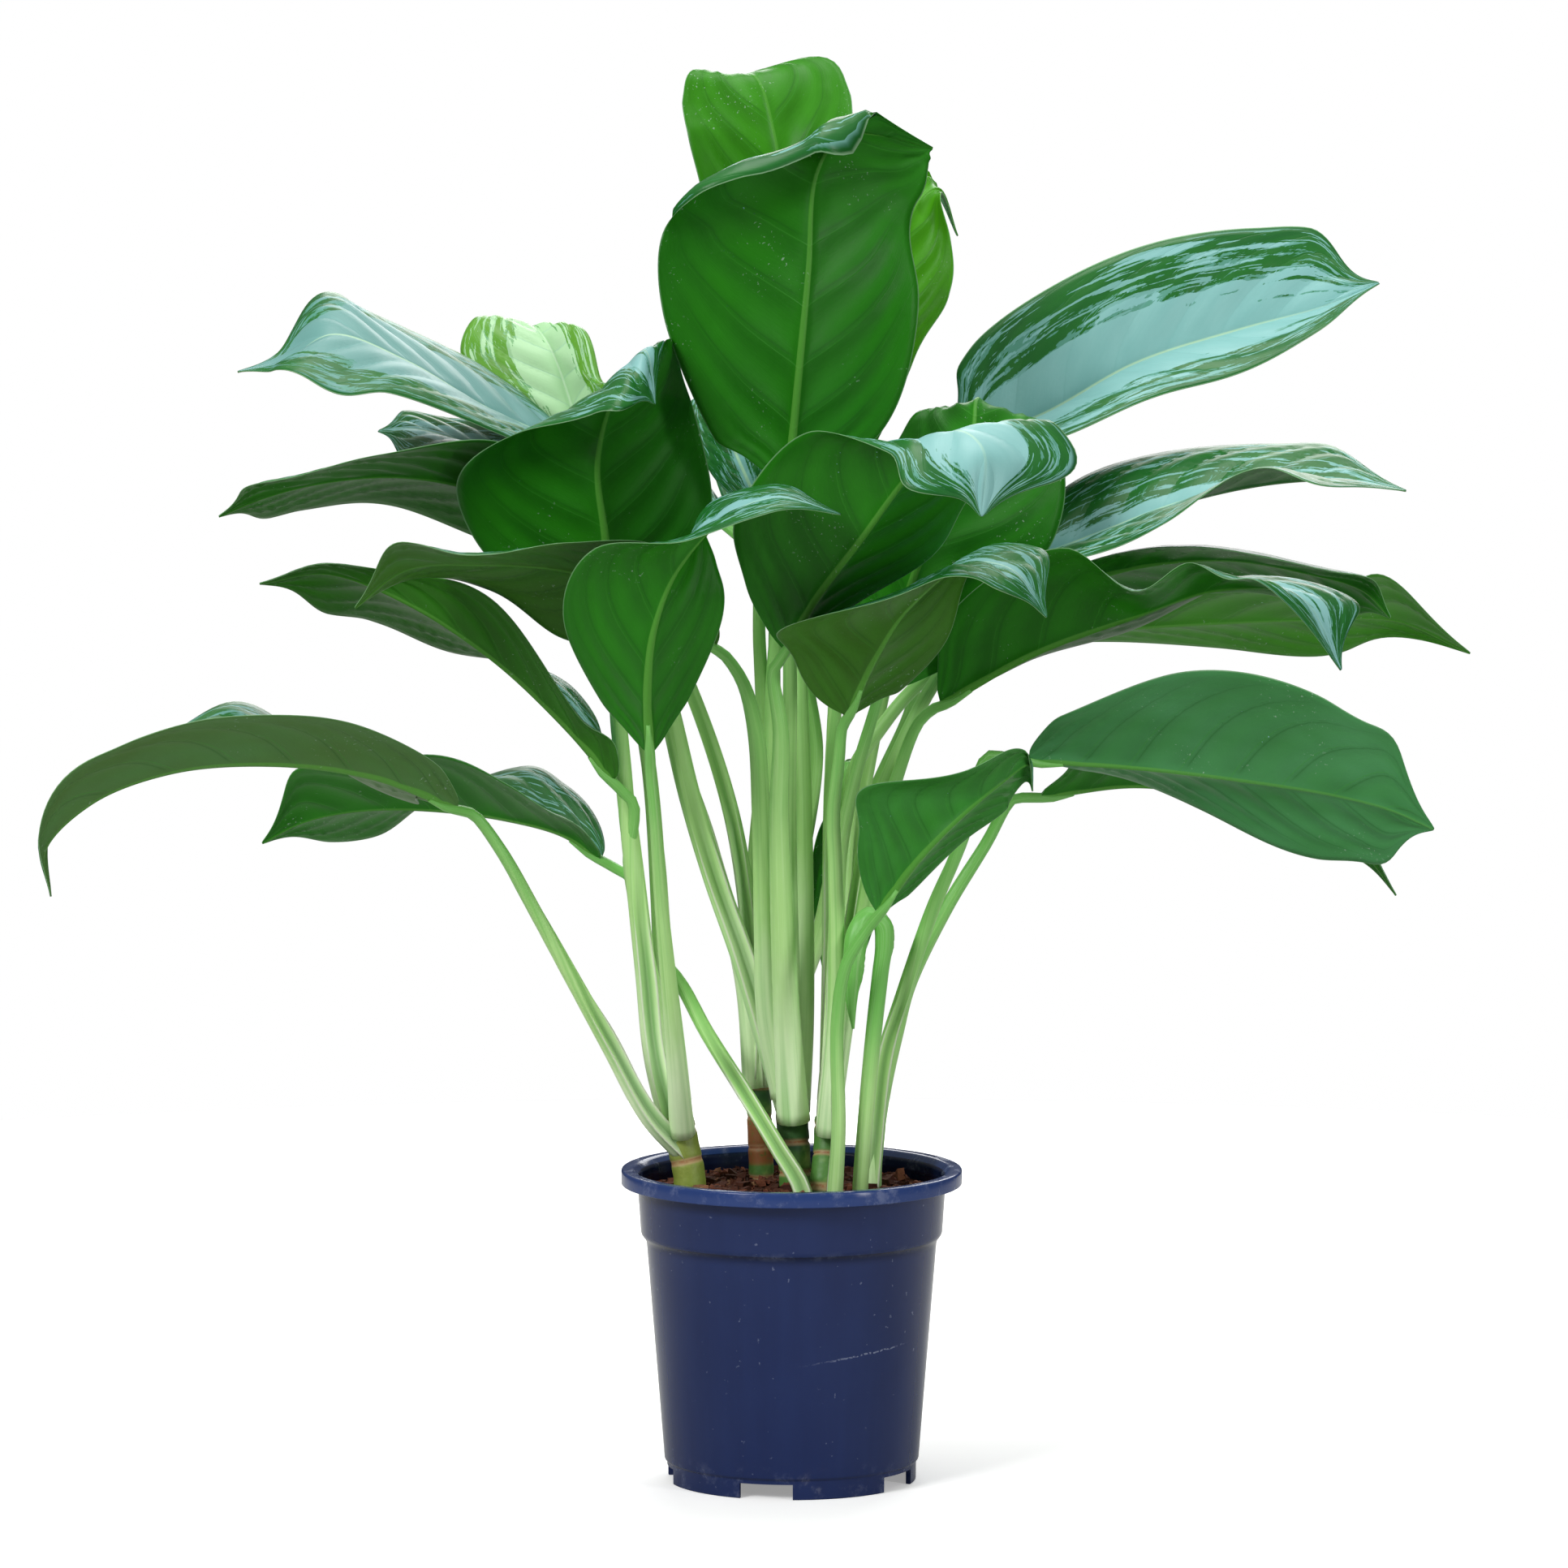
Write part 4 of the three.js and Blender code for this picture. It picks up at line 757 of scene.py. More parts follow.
# %% Blade mesh
def blade_surface(leaf):
    """The blade's middle surface on a grid, its upward normal and how far each point is from the midrib."""
    rib = Line(leaf["rib"])
    u = np.linspace(0, 1, BLADE_ROWS)
    u = 0.5 * (u + smooth(0, 1, u))
    centre = rib.at(u)
    along = rib.along(u)
    sides = {}
    hangs = {}
    for side in ("left", "right"):
        places = [cut["at"] for cut in leaf["cuts"]]
        margins = np.array([cut[side] for cut in leaf["cuts"]], float)
        reaches = (margins - rib.at(np.array(places))) / outline(places)[:, None]
        reach = through_cuts(places, reaches, u)
        lean = np.sum(reach * along, axis=1, keepdims=True)
        square = unit(reach - along * lean)
        reach = reach - along * lean * (1 - smooth(0, LOBE_SHARE, u))[:, None]
        least_width = BLADE_FOOT + (BLADE_END - BLADE_FOOT) * u
        sides[side] = reach * outline(u)[:, None] + square * least_width[:, None]
        drops = np.array([cut.get(side + "Roll", (0, 0, 0)) for cut in leaf["cuts"]], float)
        hangs[side] = through_cuts(places, drops, u) * (1 - smooth(ROLL_END, 1, u))[:, None]
    up = unit(np.cross(sides["right"] - sides["left"], along))

    spread = np.linspace(-1, 1, BLADE_COLUMNS)
    across = np.sign(spread) * np.abs(spread) ** COLUMNS_TO_RIB
    left_side = (across < 0)[None, :, None]
    half = np.where(left_side, sides["left"][:, None], sides["right"][:, None])
    hang = np.where(left_side, hangs["left"][:, None], hangs["right"][:, None])
    hang_mm = np.linalg.norm(hang, axis=2, keepdims=True)
    turned = np.minimum(1, hang_mm / FULL_ROLL)
    v = np.abs(across)[None, :, None]
    a = v * (1 - turned) + np.minimum(1, v / ROLL_START) * turned
    bow = BLADE_ARCH * 4 * a * (1 - a) * outline(u)[:, None, None]
    rolled = np.maximum(0, v - ROLL_START) / (1 - ROLL_START)
    surface = centre[:, None] + half * a + up[:, None] * bow
    surface = surface + hang * rolled + unit(half) * hang_mm * ROLL_BULGE * np.sin(np.pi * rolled)

    swell = np.abs(np.sin(np.pi * vein_phase(u[:, None], across[None, :]))) ** 0.7
    fade = smooth(0.02, 0.2, a[..., 0]) * (1 - smooth(0.72, 1, v[..., 0])) * smooth(0, 0.1, u)[:, None]
    fade = fade * (1 - smooth(0.85, 1, u))[:, None]
    surface = surface + up[:, None] * (QUILT * (swell - QUILT_REST) * fade)[..., None]
    reach_mm = np.linalg.norm(half, axis=2) * a[..., 0] + (hang_mm * rolled)[..., 0]
    return rib, u, across, surface, up, reach_mm


def surface_normals(surface, up):
    down_rows = np.gradient(surface, axis=0)
    over_columns = np.gradient(surface, axis=1)
    normal = unit(np.cross(over_columns, down_rows))
    normal[0] = up[0]
    normal[-1] = up[-1]
    return normal


def make_blade(name, leaf, finishes, seed):
    rib, u, across, surface, up, reach_mm = blade_surface(leaf)
    normal = surface_normals(surface, up)
    rows, columns = surface.shape[:2]
    edge = np.abs(across)[None, :]
    thin = (BLADE_THICKNESS / 2) * (1 - 0.55 * smooth(0.9, 1, edge)) * np.ones((rows, 1))
    ridge_width = 3.0 - 2.3 * u[:, None] ** 0.7
    ridge = (RIDGE_HEIGHT * (1 - 0.85 * u[:, None] ** 0.8)) * np.exp(-(reach_mm / ridge_width) ** 2)
    groove = (GROOVE_DEPTH * (1 - 0.8 * u[:, None])) * np.exp(-(reach_mm / (0.8 * ridge_width)) ** 2)
    above = surface + normal * (thin - groove)[..., None]
    below = surface - normal * (thin + ridge)[..., None]

    faces = grid_faces(rows, columns)
    finish_of = [0] * len(faces)
    under = rows * columns
    faces += grid_faces(rows, columns, under, flip=True)
    finish_of += [1] * (len(faces) - len(finish_of))
    rim = [i * columns for i in range(rows)]
    rim += [(rows - 1) * columns + j for j in range(1, columns)]
    rim += [i * columns + columns - 1 for i in range(rows - 2, -1, -1)]
    rim += list(range(columns - 2, 0, -1))
    for a, b in zip(rim, rim[1:] + rim[:1]):
        faces.append((a, b, b + under, a + under))
        finish_of.append(1)

    count = rows * columns
    both = {
        "along": np.tile(np.repeat(u, columns), 2),
        "across": np.tile(np.tile(across, rows), 2),
        "arc": np.tile(np.repeat(u * rib.length, columns), 2) * MM,
        "reach": np.tile(reach_mm.ravel(), 2) * MM,
        "seed": np.full(2 * count, float(seed)),
        "young": np.full(2 * count, leaf["young"]),
        "silver": np.full(2 * count, leaf["silver"]),
        "dust_and_sheen": np.full(2 * count, leaf["dust_and_sheen"]),
    }
    points = np.vstack([above.reshape(-1, 3), below.reshape(-1, 3)])
    return make_piece(name, points, faces, finishes, name.replace("blade_", "leaf_"), both, finish_of)


print("a blade has", BLADE_ROWS * BLADE_COLUMNS * 2, "points")

# %% [markdown]
# ## Stalks
#
# A stalk isn't a plain tube. Its lower part is a sheath: it is broad, clasps the cane and is hollowed along
# the side that faces the leaf's upper face, with a thin pale wing on each edge of the hollow. Higher up the
# hollow nearly closes. We sweep such a section along the stalk's line, and carry its direction back from the
# blade so that the hollow runs into the blade's own groove. Some stalks also twist towards their foot, so
# that their open side is turned to the front there.

# %% The stalk's section
STALK_THICK = (6.5, 3.6)
STALK_TIP_RADIUS = 3.0
TURN_IN_SHARE = 0.4
TURN_IN_LENGTH = 26
SHEATH_SHARE = 0.5
HALF_TURN = [0, 0.2, 0.38, 0.52, 0.62, 0.70, 0.78, 0.88, 1.05, 1.3, 1.6, 1.95, 2.35, 2.75]
SECTION_TURNS = np.array(HALF_TURN + [math.pi] + [-turn for turn in HALF_TURN[:0:-1]])
WING_TURN = 0.70
WING_HEIGHT = 1.7
CHANNEL_FACES = np.array([0.0, -0.85, 0.5])


def carried_frames(points, last_front):
    """The direction of the hollow at each ring, carried back along the line from the last ring."""
    along = unit(np.gradient(points, axis=0))
    fronts = np.zeros_like(points)
    front = last_front
    for i in range(len(points) - 1, -1, -1):
        front = unit(front - along[i] * np.dot(front, along[i]))
        fronts[i] = front
    return along, fronts, np.cross(along, fronts)


def sweep_points(centres, fronts, rights, turns, radii):
    """Rings of points around a line. radii has a row for each ring and a column for each turn."""
    around = (np.cos(turns)[None, :, None] * fronts[:, None] + np.sin(turns)[None, :, None] * rights[:, None])
    return centres[:, None] + around * radii[..., None]


def sheath_radii(t, base, top, wing, rings_at):
    """The stalk's radius for each ring and turn: round, with a hollow and two wings where the sheath is."""
    turn = np.abs(SECTION_TURNS)[None, :]
    plain = base + (top - base) * np.minimum(1, t * 1.25) ** 0.7
    plain = plain + (STALK_TIP_RADIUS - plain) * smooth(0.75, 1, t)
    sheath = (1 - smooth(SHEATH_SHARE * 0.7, SHEATH_SHARE, t))[:, None]
    hollow = (0.10 + 0.5 * sheath) * np.exp(-(turn / 0.5) ** 2)
    ripple = 1 + 0.25 * np.sin(rings_at * 0.09)[:, None]
    wings = wing * sheath * ripple * np.exp(-((turn - WING_TURN) / 0.09) ** 2)
    return plain[:, None] * (1 - hollow) + wings


print("the section has", len(SECTION_TURNS), "points")

# %% Stalk mesh
def make_stalk(name, leaf, finish, stands_for, seed, pale):
    rib = Line(leaf["rib"])
    _, _, _, _, up, _ = blade_surface(leaf)
    start = rib.at(0.0)
    along = rib.along(0.0)
    given = np.array(leaf["stalk"], float)
    turn_in = min(TURN_IN_LENGTH, TURN_IN_SHARE * np.linalg.norm(start - given[-1]))
    straight = [start - along * turn_in, start - along * turn_in / 2, start - up[0] * 0.9]
    past = [rib.at(9 / rib.length) - up[0] * 2.3, rib.at(20 / rib.length) - up[0] * 1.7]
    line = Line(np.vstack([given, straight, past]))
    rings = int(line.length / 6)
    share = np.linspace(0, 1, rings)
    centres = line.at(share)
    t = np.clip(share * line.length / (line.length - 20), 0, 1)
    base, top = leaf.get("thick", STALK_THICK)
    radii = sheath_radii(t, base, top, WING_HEIGHT, share * line.length)
    beyond = smooth(line.length - 22, line.length, share * line.length)
    radii = radii * (1 - 0.62 * beyond)[:, None]
    heading, fronts, rights = carried_frames(centres, up[0])
    if leaf["open_front"]:
        wanted = unit(CHANNEL_FACES - heading[0] * np.dot(CHANNEL_FACES, heading[0]))
        spin = math.atan2(np.dot(wanted, rights[0]), np.dot(wanted, fronts[0])) * (1 - smooth(0.4, 0.9, t))
        cos, sin = np.cos(spin)[:, None], np.sin(spin)[:, None]
        fronts, rights = fronts * cos + rights * sin, rights * cos - fronts * sin
    points = sweep_points(centres, fronts, rights, SECTION_TURNS, radii)
    sides = len(SECTION_TURNS)
    faces = tube_faces(rings, sides)
    edge = np.exp(-((np.abs(np.tile(SECTION_TURNS, rings)) - WING_TURN) / 0.1) ** 2)
    sheath = np.repeat(1 - smooth(SHEATH_SHARE * 0.7, SHEATH_SHARE, t), sides)
    stored = {
        "along": np.repeat(t, sides),
        "arc": np.repeat(share * line.length, sides) * MM,
        "facing": np.tile(np.cos(SECTION_TURNS), rings),
        "sideways": np.tile(np.sin(SECTION_TURNS), rings),
        "edge": edge * sheath,
        "seed": np.full(rings * sides, float(seed)),
        "pale": np.full(rings * sides, pale),
    }
    return make_piece(name, points.reshape(-1, 3), faces, [finish], stands_for, stored)


print("stalks can be made")

# %% [markdown]
# ## Canes
#
# A cane is what is left of older leaves' bases: a short thick stem with a ring scar wherever a leaf has
# dropped. Young wood is green, and a scar is brown and papery. The rings are in the mesh, as a narrow step
# with a slight swelling above it, and the colours follow the distance from the foot.

# %% Cane mesh
SOIL_LEVEL = 161
HOLE_DEPTH = 60
CANE_SIDES = 28
RING_SPACING = 17


def make_cane(name, shoot, finish, stands_for, seed):
    x, y = shoot["foot"]
    buried = [(x, y, SOIL_LEVEL - HOLE_DEPTH), (x, y, SOIL_LEVEL - HOLE_DEPTH / 2), (x, y, SOIL_LEVEL - 4)]
    tip = np.array(shoot["cane"][-1], float)
    line = Line(buried + list(shoot["cane"]) + [tuple(tip + unit(tip - np.array(shoot["cane"][-2])) * 5)])
    rings = int(line.length / 1.5)
    share = np.linspace(0, 1, rings)
    centres = line.at(share)
    height = share * line.length - (HOLE_DEPTH - 4)
    turns = np.linspace(-math.pi, math.pi, CANE_SIDES, endpoint=False)
    phase = (height + 4 * seed) / RING_SPACING
    inside = phase - np.floor(phase)
    profile = 1 + 0.03 * np.sin(math.pi * inside) - 0.09 * np.exp(-((inside - 0.5) / 0.06) ** 2)
    profile = profile * (1 - 0.75 * smooth(line.length - 7, line.length, share * line.length))
    wobble = 1 + 0.02 * np.sin(3 * turns[None, :] + 0.1 * height[:, None] + seed)
    radii = shoot["footRadius"] * 0.985 * profile[:, None] * wobble
    _, fronts, rights = carried_frames(centres, np.array([0.0, -1.0, 0.0]))
    points = sweep_points(centres, fronts, rights, turns, radii)
    faces = tube_faces(rings, CANE_SIDES)
    papery = smooth(14, 16, height) * (1 - smooth(38, 42, height)) * shoot["papery"]
    stored = {
        "height": np.repeat(height, CANE_SIDES) * MM,
        "scar": np.repeat(np.exp(-((inside - 0.5) / 0.09) ** 2), CANE_SIDES),
        "olive": np.full(rings * CANE_SIDES, shoot["olive"]),
        "papery": np.repeat(papery, CANE_SIDES),
        "seed": np.full(rings * CANE_SIDES, float(seed)),
    }
    return make_piece(name, points.reshape(-1, 3), faces, [finish], stands_for, stored)


print("canes can be made")

# %% [markdown]
# ## The finish of a leaf's upper face
#
# The silver middle is a zone with few green cells. Towards the margin the dark green returns in bands that
# follow the margin to the tip. Their edges are ragged where they cross the side veins, and rows of pale gaps
# part them. So the bands are noise in the blade's own two coordinates, fine across it and drawn out along it.
# A slow bias by the distance from the midrib decides how much of it is dark, and each leaf's own share of
# silver moves that bias.

# %% Upper face
SILVER = colour("#8dbfbb")
SILVER_SHADE = colour("#76aeaa")
SILVER_DULL_AND_SHADE = colour("#5f918a")
HALF_TONE = colour("#4a8c74")
DARK = colour("#0f5224")
DARK_WARM = colour("#257325")
YOUNG_GREEN = colour("#6fae2c")
YOUNG_SILVER = colour("#b4dc9c")
RIB_PALE = colour("#b9dcb4")
MARGIN_PALE = colour("#9cc79a")


def vein_lines(veins_at, sharp):
    """1 on the side veins and 0 between them."""
    return (1 - abs((veins_at * math.pi).sine())) ** sharp


def veins_of(finish):
    along = finish.stored("along")
    a = abs(finish.stored("across"))
    return along, a, (along - a * VEIN_SWEEP - (a ** 4) * VEIN_CURL) * VEIN_PAIRS


def upper_face():
    finish = Finish("leaf_upper", Roughness=0.4, IOR=1.35)
    along, a, veins = veins_of(finish)
    side = finish.stored("across").step(-0.01, 0.01)
    seed = finish.stored("seed") * 7.3 + side * 31.7
    silver_share = finish.stored("silver") - 0.5
    strokes = finish.noise(finish.place(a * 6.5 - along * 1.4, along * 2.2 + a * 0.8, seed), 1.5, 2, 0.55)
    ragged = finish.noise(finish.place(veins * 3.5, a * 8, seed + 3.1), 1.5, 3, 0.7)
    torn = finish.noise(finish.place(veins * 4, a * 8, seed + 8.4), 1.2, 3, 0.7)
    hairs = finish.noise(finish.place(veins * 10, a * 2.5 + along * 2, seed), 1.6, 2, 0.5)

    reach_out = (a - silver_share * 0.5).step(0.24, 0.6) * 0.36 - 0.28 - silver_share * 0.36
    reach_out = reach_out + a.step(0.88, 1.0) * 0.2 + along.step(0.6, 1.0) * 0.14
    level = strokes + reach_out
    half_tone = (level + (torn - 0.5) * 0.36).step(0.45, 0.465)
    dark = (level + (ragged - 0.5) * 0.38).step(0.5, 0.508)
    dark = dark * (1 - hairs.step(0.68, 0.70) * a.step(0.99, 0.9) * 0.9)
    rows = finish.noise(finish.place(a * 15 - along * 2, along * 4 + a, seed + 5.7), 1.5, 2, 0.6)
    gaps = (rows + (ragged - 0.5) * 0.25).step(0.57, 0.59) * a.step(0.985, 0.94)
    dark = dark * (1 - gaps * 0.95)
    half_tone = half_tone * (1 - gaps * 0.6)

    young = finish.stored("young").at_least(0)
    # Below 0 the silver is dulled. On leaf_left_silver, which faces the key panel, this dulling is painted
    # shade.
    dull_and_shade = (finish.stored("young") * -1).at_least(0)
    cloud = finish.noise(finish.place(veins * 2, a * 2, seed), 1.2, 4, 0.6)
    silver = finish.mix(finish.mix(SILVER, SILVER_SHADE, cloud), SILVER_DULL_AND_SHADE, dull_and_shade)
    silver = finish.mix(silver, YOUNG_SILVER, young)
    skin = finish.mix(silver, finish.mix(HALF_TONE, YOUNG_GREEN, young * 0.6), half_tone * 0.85)
    green = finish.mix(DARK, DARK_WARM, finish.noise(finish.place(veins, a * 3, seed + 9), 1.3, 2, 0.5))
    skin = finish.mix(skin, finish.mix(green, YOUNG_GREEN, young * 0.8), dark)
    skin = finish.mix(skin, SILVER_SHADE, vein_lines(veins, 14) * 0.3 * (1 - dark))
    rib = finish.stored("reach").step(0.0013, 0.0005) * along.step(1.0, 0.6)
    skin = finish.mix(skin, RIB_PALE, rib * 0.75)
    skin = finish.mix(skin, MARGIN_PALE, a.step(0.985, 0.998) * 0.7)

    cells = finish.noise(finish.position(), 1500, 1, 0.5)
    normal = finish.bump(vein_lines(veins, 8) * -0.6 + hairs * 0.35 + cells * 0.12, 0.35, 0.0006)
    rough = 0.36 + hairs * 0.12 + dark * -0.05
    return finish.set(Base_Color=skin, Roughness=rough, Normal=normal)


leaf_upper = upper_face()
print("upper face:", len(leaf_upper.node_tree.nodes), "nodes")

# %% [markdown]
# ## The finish of a leaf's underside
#
# The underside is plain green and smoother to the eye. What shows on it is the light midrib, the side veins
# as thin light lines with a painted shadow along one side, painted light and shade across the swelling
# between the side veins, and the many fine parallel veins between them. Fresh leaves look yellowish, dull
# ones olive, and a pale film, partly dust and partly painted sheen, makes a few of them cooler and greyer.

# %% Underside
UNDER_DEEP = colour("#124d0c")
UNDER_GREEN = colour("#2a8413")
UNDER_YOUNG = colour("#57a50e")
UNDER_RIB = colour("#5c9f3c")
UNDER_VEIN = colour("#3c8f2c")
UNDER_OLD = colour("#5d6b35")
UNDER_DUST_AND_SHEEN = colour("#5d9a72")
LIME_DUST = colour("#b9cfc0")


def underside():
    finish = Finish("leaf_under", Roughness=0.38, IOR=1.24)
    along, a, veins = veins_of(finish)
    side = finish.stored("across").step(-0.01, 0.01)
    seed = finish.stored("seed") * 3.7 + side * 17.1
    cloud = finish.noise(finish.place(along * 4, a * 2, seed), 1.2, 2, 0.5)
    fine = finish.noise(finish.place(veins * 11, a * 4, seed), 2.2, 3, 0.6)
    # Painted light and shade across the swelling between the side veins: lighter on one side, darker on the
    # other.
    pillow_shading = (veins * (2 * math.pi) - 0.9).sine() * 0.5 + 0.5
    middle = a.step(0.02, 0.12) * a.step(1.0, 0.65)
    tone = 0.55 + (cloud - 0.5) * 0.5 + (fine - 0.5) * 0.25 + (pillow_shading - 0.5) * middle * 0.22
    skin = finish.mix(UNDER_DEEP, UNDER_GREEN, tone)
    age = finish.stored("young")
    skin = finish.mix(skin, UNDER_YOUNG, age.at_least(0) * (tone * 0.6 + 0.4))
    skin = finish.mix(skin, UNDER_OLD, (age * -1).at_least(0))
    # A pale film, partly dust and partly painted sheen.
    film = finish.stored("dust_and_sheen") * (0.6 + (cloud - 0.5) * 0.8)
    skin = finish.mix(skin, UNDER_DUST_AND_SHEEN, film * 0.8)
    lines = vein_lines(veins + 0.03, 40)
    skin = finish.mix(skin, UNDER_VEIN, lines * 0.5 * a.step(0.95, 0.3))
    # A painted shadow along one side of each side vein.
    shade = vein_lines(veins - 0.07, 14)
    skin = finish.mix(skin, UNDER_DEEP, shade * 0.45 * middle)
    reach = finish.stored("reach")
    rib_width = 0.0018 - along * 0.0014
    rib = 1 - (reach - rib_width).step(-0.0002, 0.0004)
    skin = finish.mix(skin, UNDER_RIB, rib * (0.8 - along * 0.5))
    skin = finish.mix(skin, MARGIN_PALE, a.step(0.985, 0.998) * 0.45)
    dust = finish.noise(finish.position(), 520, 2, 0.6).step(0.66, 0.70)
    dust = dust * finish.noise(finish.position(), 26, 3, 0.6).step(0.52, 0.64)
    skin = finish.mix(skin, LIME_DUST, dust * 0.4)
    cells = finish.noise(finish.position(), 1300, 1, 0.5)
    normal = finish.bump(fine * 0.5 + lines * 0.6 + cells * 0.1, 0.3, 0.0006)
    rough = 0.33 + fine * 0.14
    return finish.set(Base_Color=skin, Roughness=rough, Normal=normal)


leaf_under = underside()
print("underside:", len(leaf_under.node_tree.nodes), "nodes")

# %% [markdown]
# ## The finish of stalks and canes
#
# A stalk is pale where its sheath was shaded and greener towards the blade, with fine lines along it. The
# hollow of the sheath is darkened with painted shade. The wings of the sheath dry out and turn whitish. A
# cane is darker, banded by its ring scars.

# %% Stalks and canes
STALK_PALE = colour("#ddf5c4")
STALK_MID = colour("#b2e08c")
STALK_GREEN = colour("#6fb955")
STALK_HOLLOW_SHADE = colour("#3d8134")
WING_DRY = colour("#e2ead2")
CANE_GREEN = colour("#4c7f33")
CANE_DARK = colour("#1f4a2c")
CANE_PALE = colour("#a9c46f")
CANE_OLIVE = colour("#93a03f")
CANE_PAPER = colour("#9c6238")
SCAR_BROWN = colour("#9a5a34")
SCAR_PINK = colour("#c9a07c")


def stalk_skin():
    finish = Finish("stalk_skin", Roughness=0.4, Specular_IOR_Level=0.35)
    along, edge = finish.stored("along"), finish.stored("edge")
    facing, sideways = finish.stored("facing"), finish.stored("sideways")
    arc = finish.stored("arc")
    seed = finish.stored("seed") * 5.1
    lines = finish.noise(finish.place(facing * 8, sideways * 8, arc * 9 + seed), 1.0, 3, 0.6)
    blotch = finish.noise(finish.place(facing * 0.6, sideways * 0.6, arc * 22 + seed), 1.0, 3, 0.55)
    ripe = along + (blotch - 0.5) * 0.35 - finish.stored("pale")
    skin = finish.mix(STALK_PALE, STALK_MID, ripe.step(0.0, 0.35))
    skin = finish.mix(skin, STALK_GREEN, ripe.step(0.3, 0.95))
    streaks = finish.noise(finish.place(facing * 1.5, sideways * 1.5, arc * 6 - seed), 1.0, 1, 0.5)
    skin = finish.mix(skin, STALK_PALE, lines.step(0.5, 0.7) * 0.2)
    skin = finish.mix(skin, STALK_GREEN, lines.step(0.45, 0.3) * 0.15 + streaks.step(0.46, 0.7) * 0.45)
    # The hollow of the sheath is darkened with painted shade.
    hollow = facing.step(0.80, 0.98) * (1 - along.step(0.3, 0.6))
    skin = finish.mix(skin, STALK_HOLLOW_SHADE, hollow * 0.5)
    skin = finish.mix(skin, WING_DRY, edge.step(0.35, 0.9) * 0.85)
    normal = finish.bump(lines, 0.35, 0.0005)
    return finish.set(Base_Color=skin, Roughness=0.3 + lines * 0.16, Normal=normal)


def cane_skin():
    finish = Finish("cane_skin", Roughness=0.5, Specular_IOR_Level=0.5)
    height, scar = finish.stored("height"), finish.stored("scar")
    seed = finish.stored("seed") * 4.3
    where = finish.position()
    grain = finish.noise(where, 420, 4, 0.6)
    cloud = finish.noise(where, 60, 3, 0.55)
    band = finish.noise(finish.place(height * 40, seed, 0.0), 1.0, 1, 0.5)
    skin = finish.mix(CANE_GREEN, CANE_DARK, band.step(0.45, 0.6))
    skin = finish.mix(skin, CANE_PALE, cloud.step(0.5, 0.75) * 0.7)
    skin = finish.mix(skin, CANE_OLIVE, finish.stored("olive") * (0.6 + cloud * 0.4))
    skin = finish.mix(skin, CANE_PAPER, finish.stored("papery") * grain.step(0.25, 0.45))
    skin = finish.mix(skin, SCAR_PINK, scar.step(0.05, 0.6) * 0.6)
    skin = finish.mix(skin, SCAR_BROWN, scar.step(0.55, 0.95) * grain.step(0.3, 0.6) * 0.9)
    normal = finish.bump(grain + scar * -0.5, 0.4, 0.0008)
    return finish.set(Base_Color=skin, Roughness=0.4 + grain * 0.25, Normal=normal)


stalk_finish = stalk_skin()
cane_finish = cane_skin()
print("stalk and cane finishes are ready")

# %% [markdown]
# ## Growing the plant
#
# Now each leaf of the plan becomes a blade and a stalk, and each shoot with a cane gets it. A few numbers say
# how a leaf differs from the others: how fresh or dull it looks (above 0 it is fresh, below 0 dull), how far
# its silver zone reaches, and how much pale film, partly dust and partly painted sheen, lies on its
# underside.
# They are fitted to the leaf's tone under these lamps, so they don't tell its age. On leaf_left_silver, which
# faces the key panel, the dulling is painted shade. Stalks on a bare shoot have less of the pale sheath.

# %% Leaves, stalks and canes
LEAF_FRESHNESS_AND_SHADE = {
    "leaf_left_bright": 0.75, "leaf_crown_right": 0.6, "leaf_crown_back": 0.25, "leaf_right_far": 0.35,
    "leaf_small_fold": 0.1, "leaf_left_low_long": -0.55, "leaf_left_strip": -0.3,
    "leaf_left_arch": -0.15, "leaf_left_silver": -0.9, "leaf_centre_low": -0.3, "leaf_left_mid": -0.1,
}
OPEN_FRONTS = {  # stalks whose open side can be seen from the front
    "leaf_left_low", "leaf_left_low_long", "leaf_right_low_front", "leaf_crown_right", "leaf_left_silver",
    "leaf_left_broad",
}
SILVER_REACH = {
    "leaf_left_silver": 0.65, "leaf_right_upper": 0.6, "leaf_centre_front": 0.65, "leaf_right_second": 0.1,
    "leaf_left_strip": 0.1, "leaf_inner": 0.1, "leaf_left_mid": 0.15, "leaf_crown_front": 0.1,
    "leaf_left_broad": 0.3, "leaf_left_small_front": 0.2, "leaf_centre_low": 0.15, "leaf_left_shaded": 0.25,
    "leaf_left_low": 0.1, "leaf_left_low_long": 0.1, "leaf_right_behind": 0.3, "leaf_right_arch": 0.3,
}
# How much pale film each underside gets, partly dust and partly painted sheen.
DUST_AND_SHEEN = {"leaf_right_low_front": 0.8, "leaf_left_low_long": 0.35, "leaf_small_fold": 0.25}

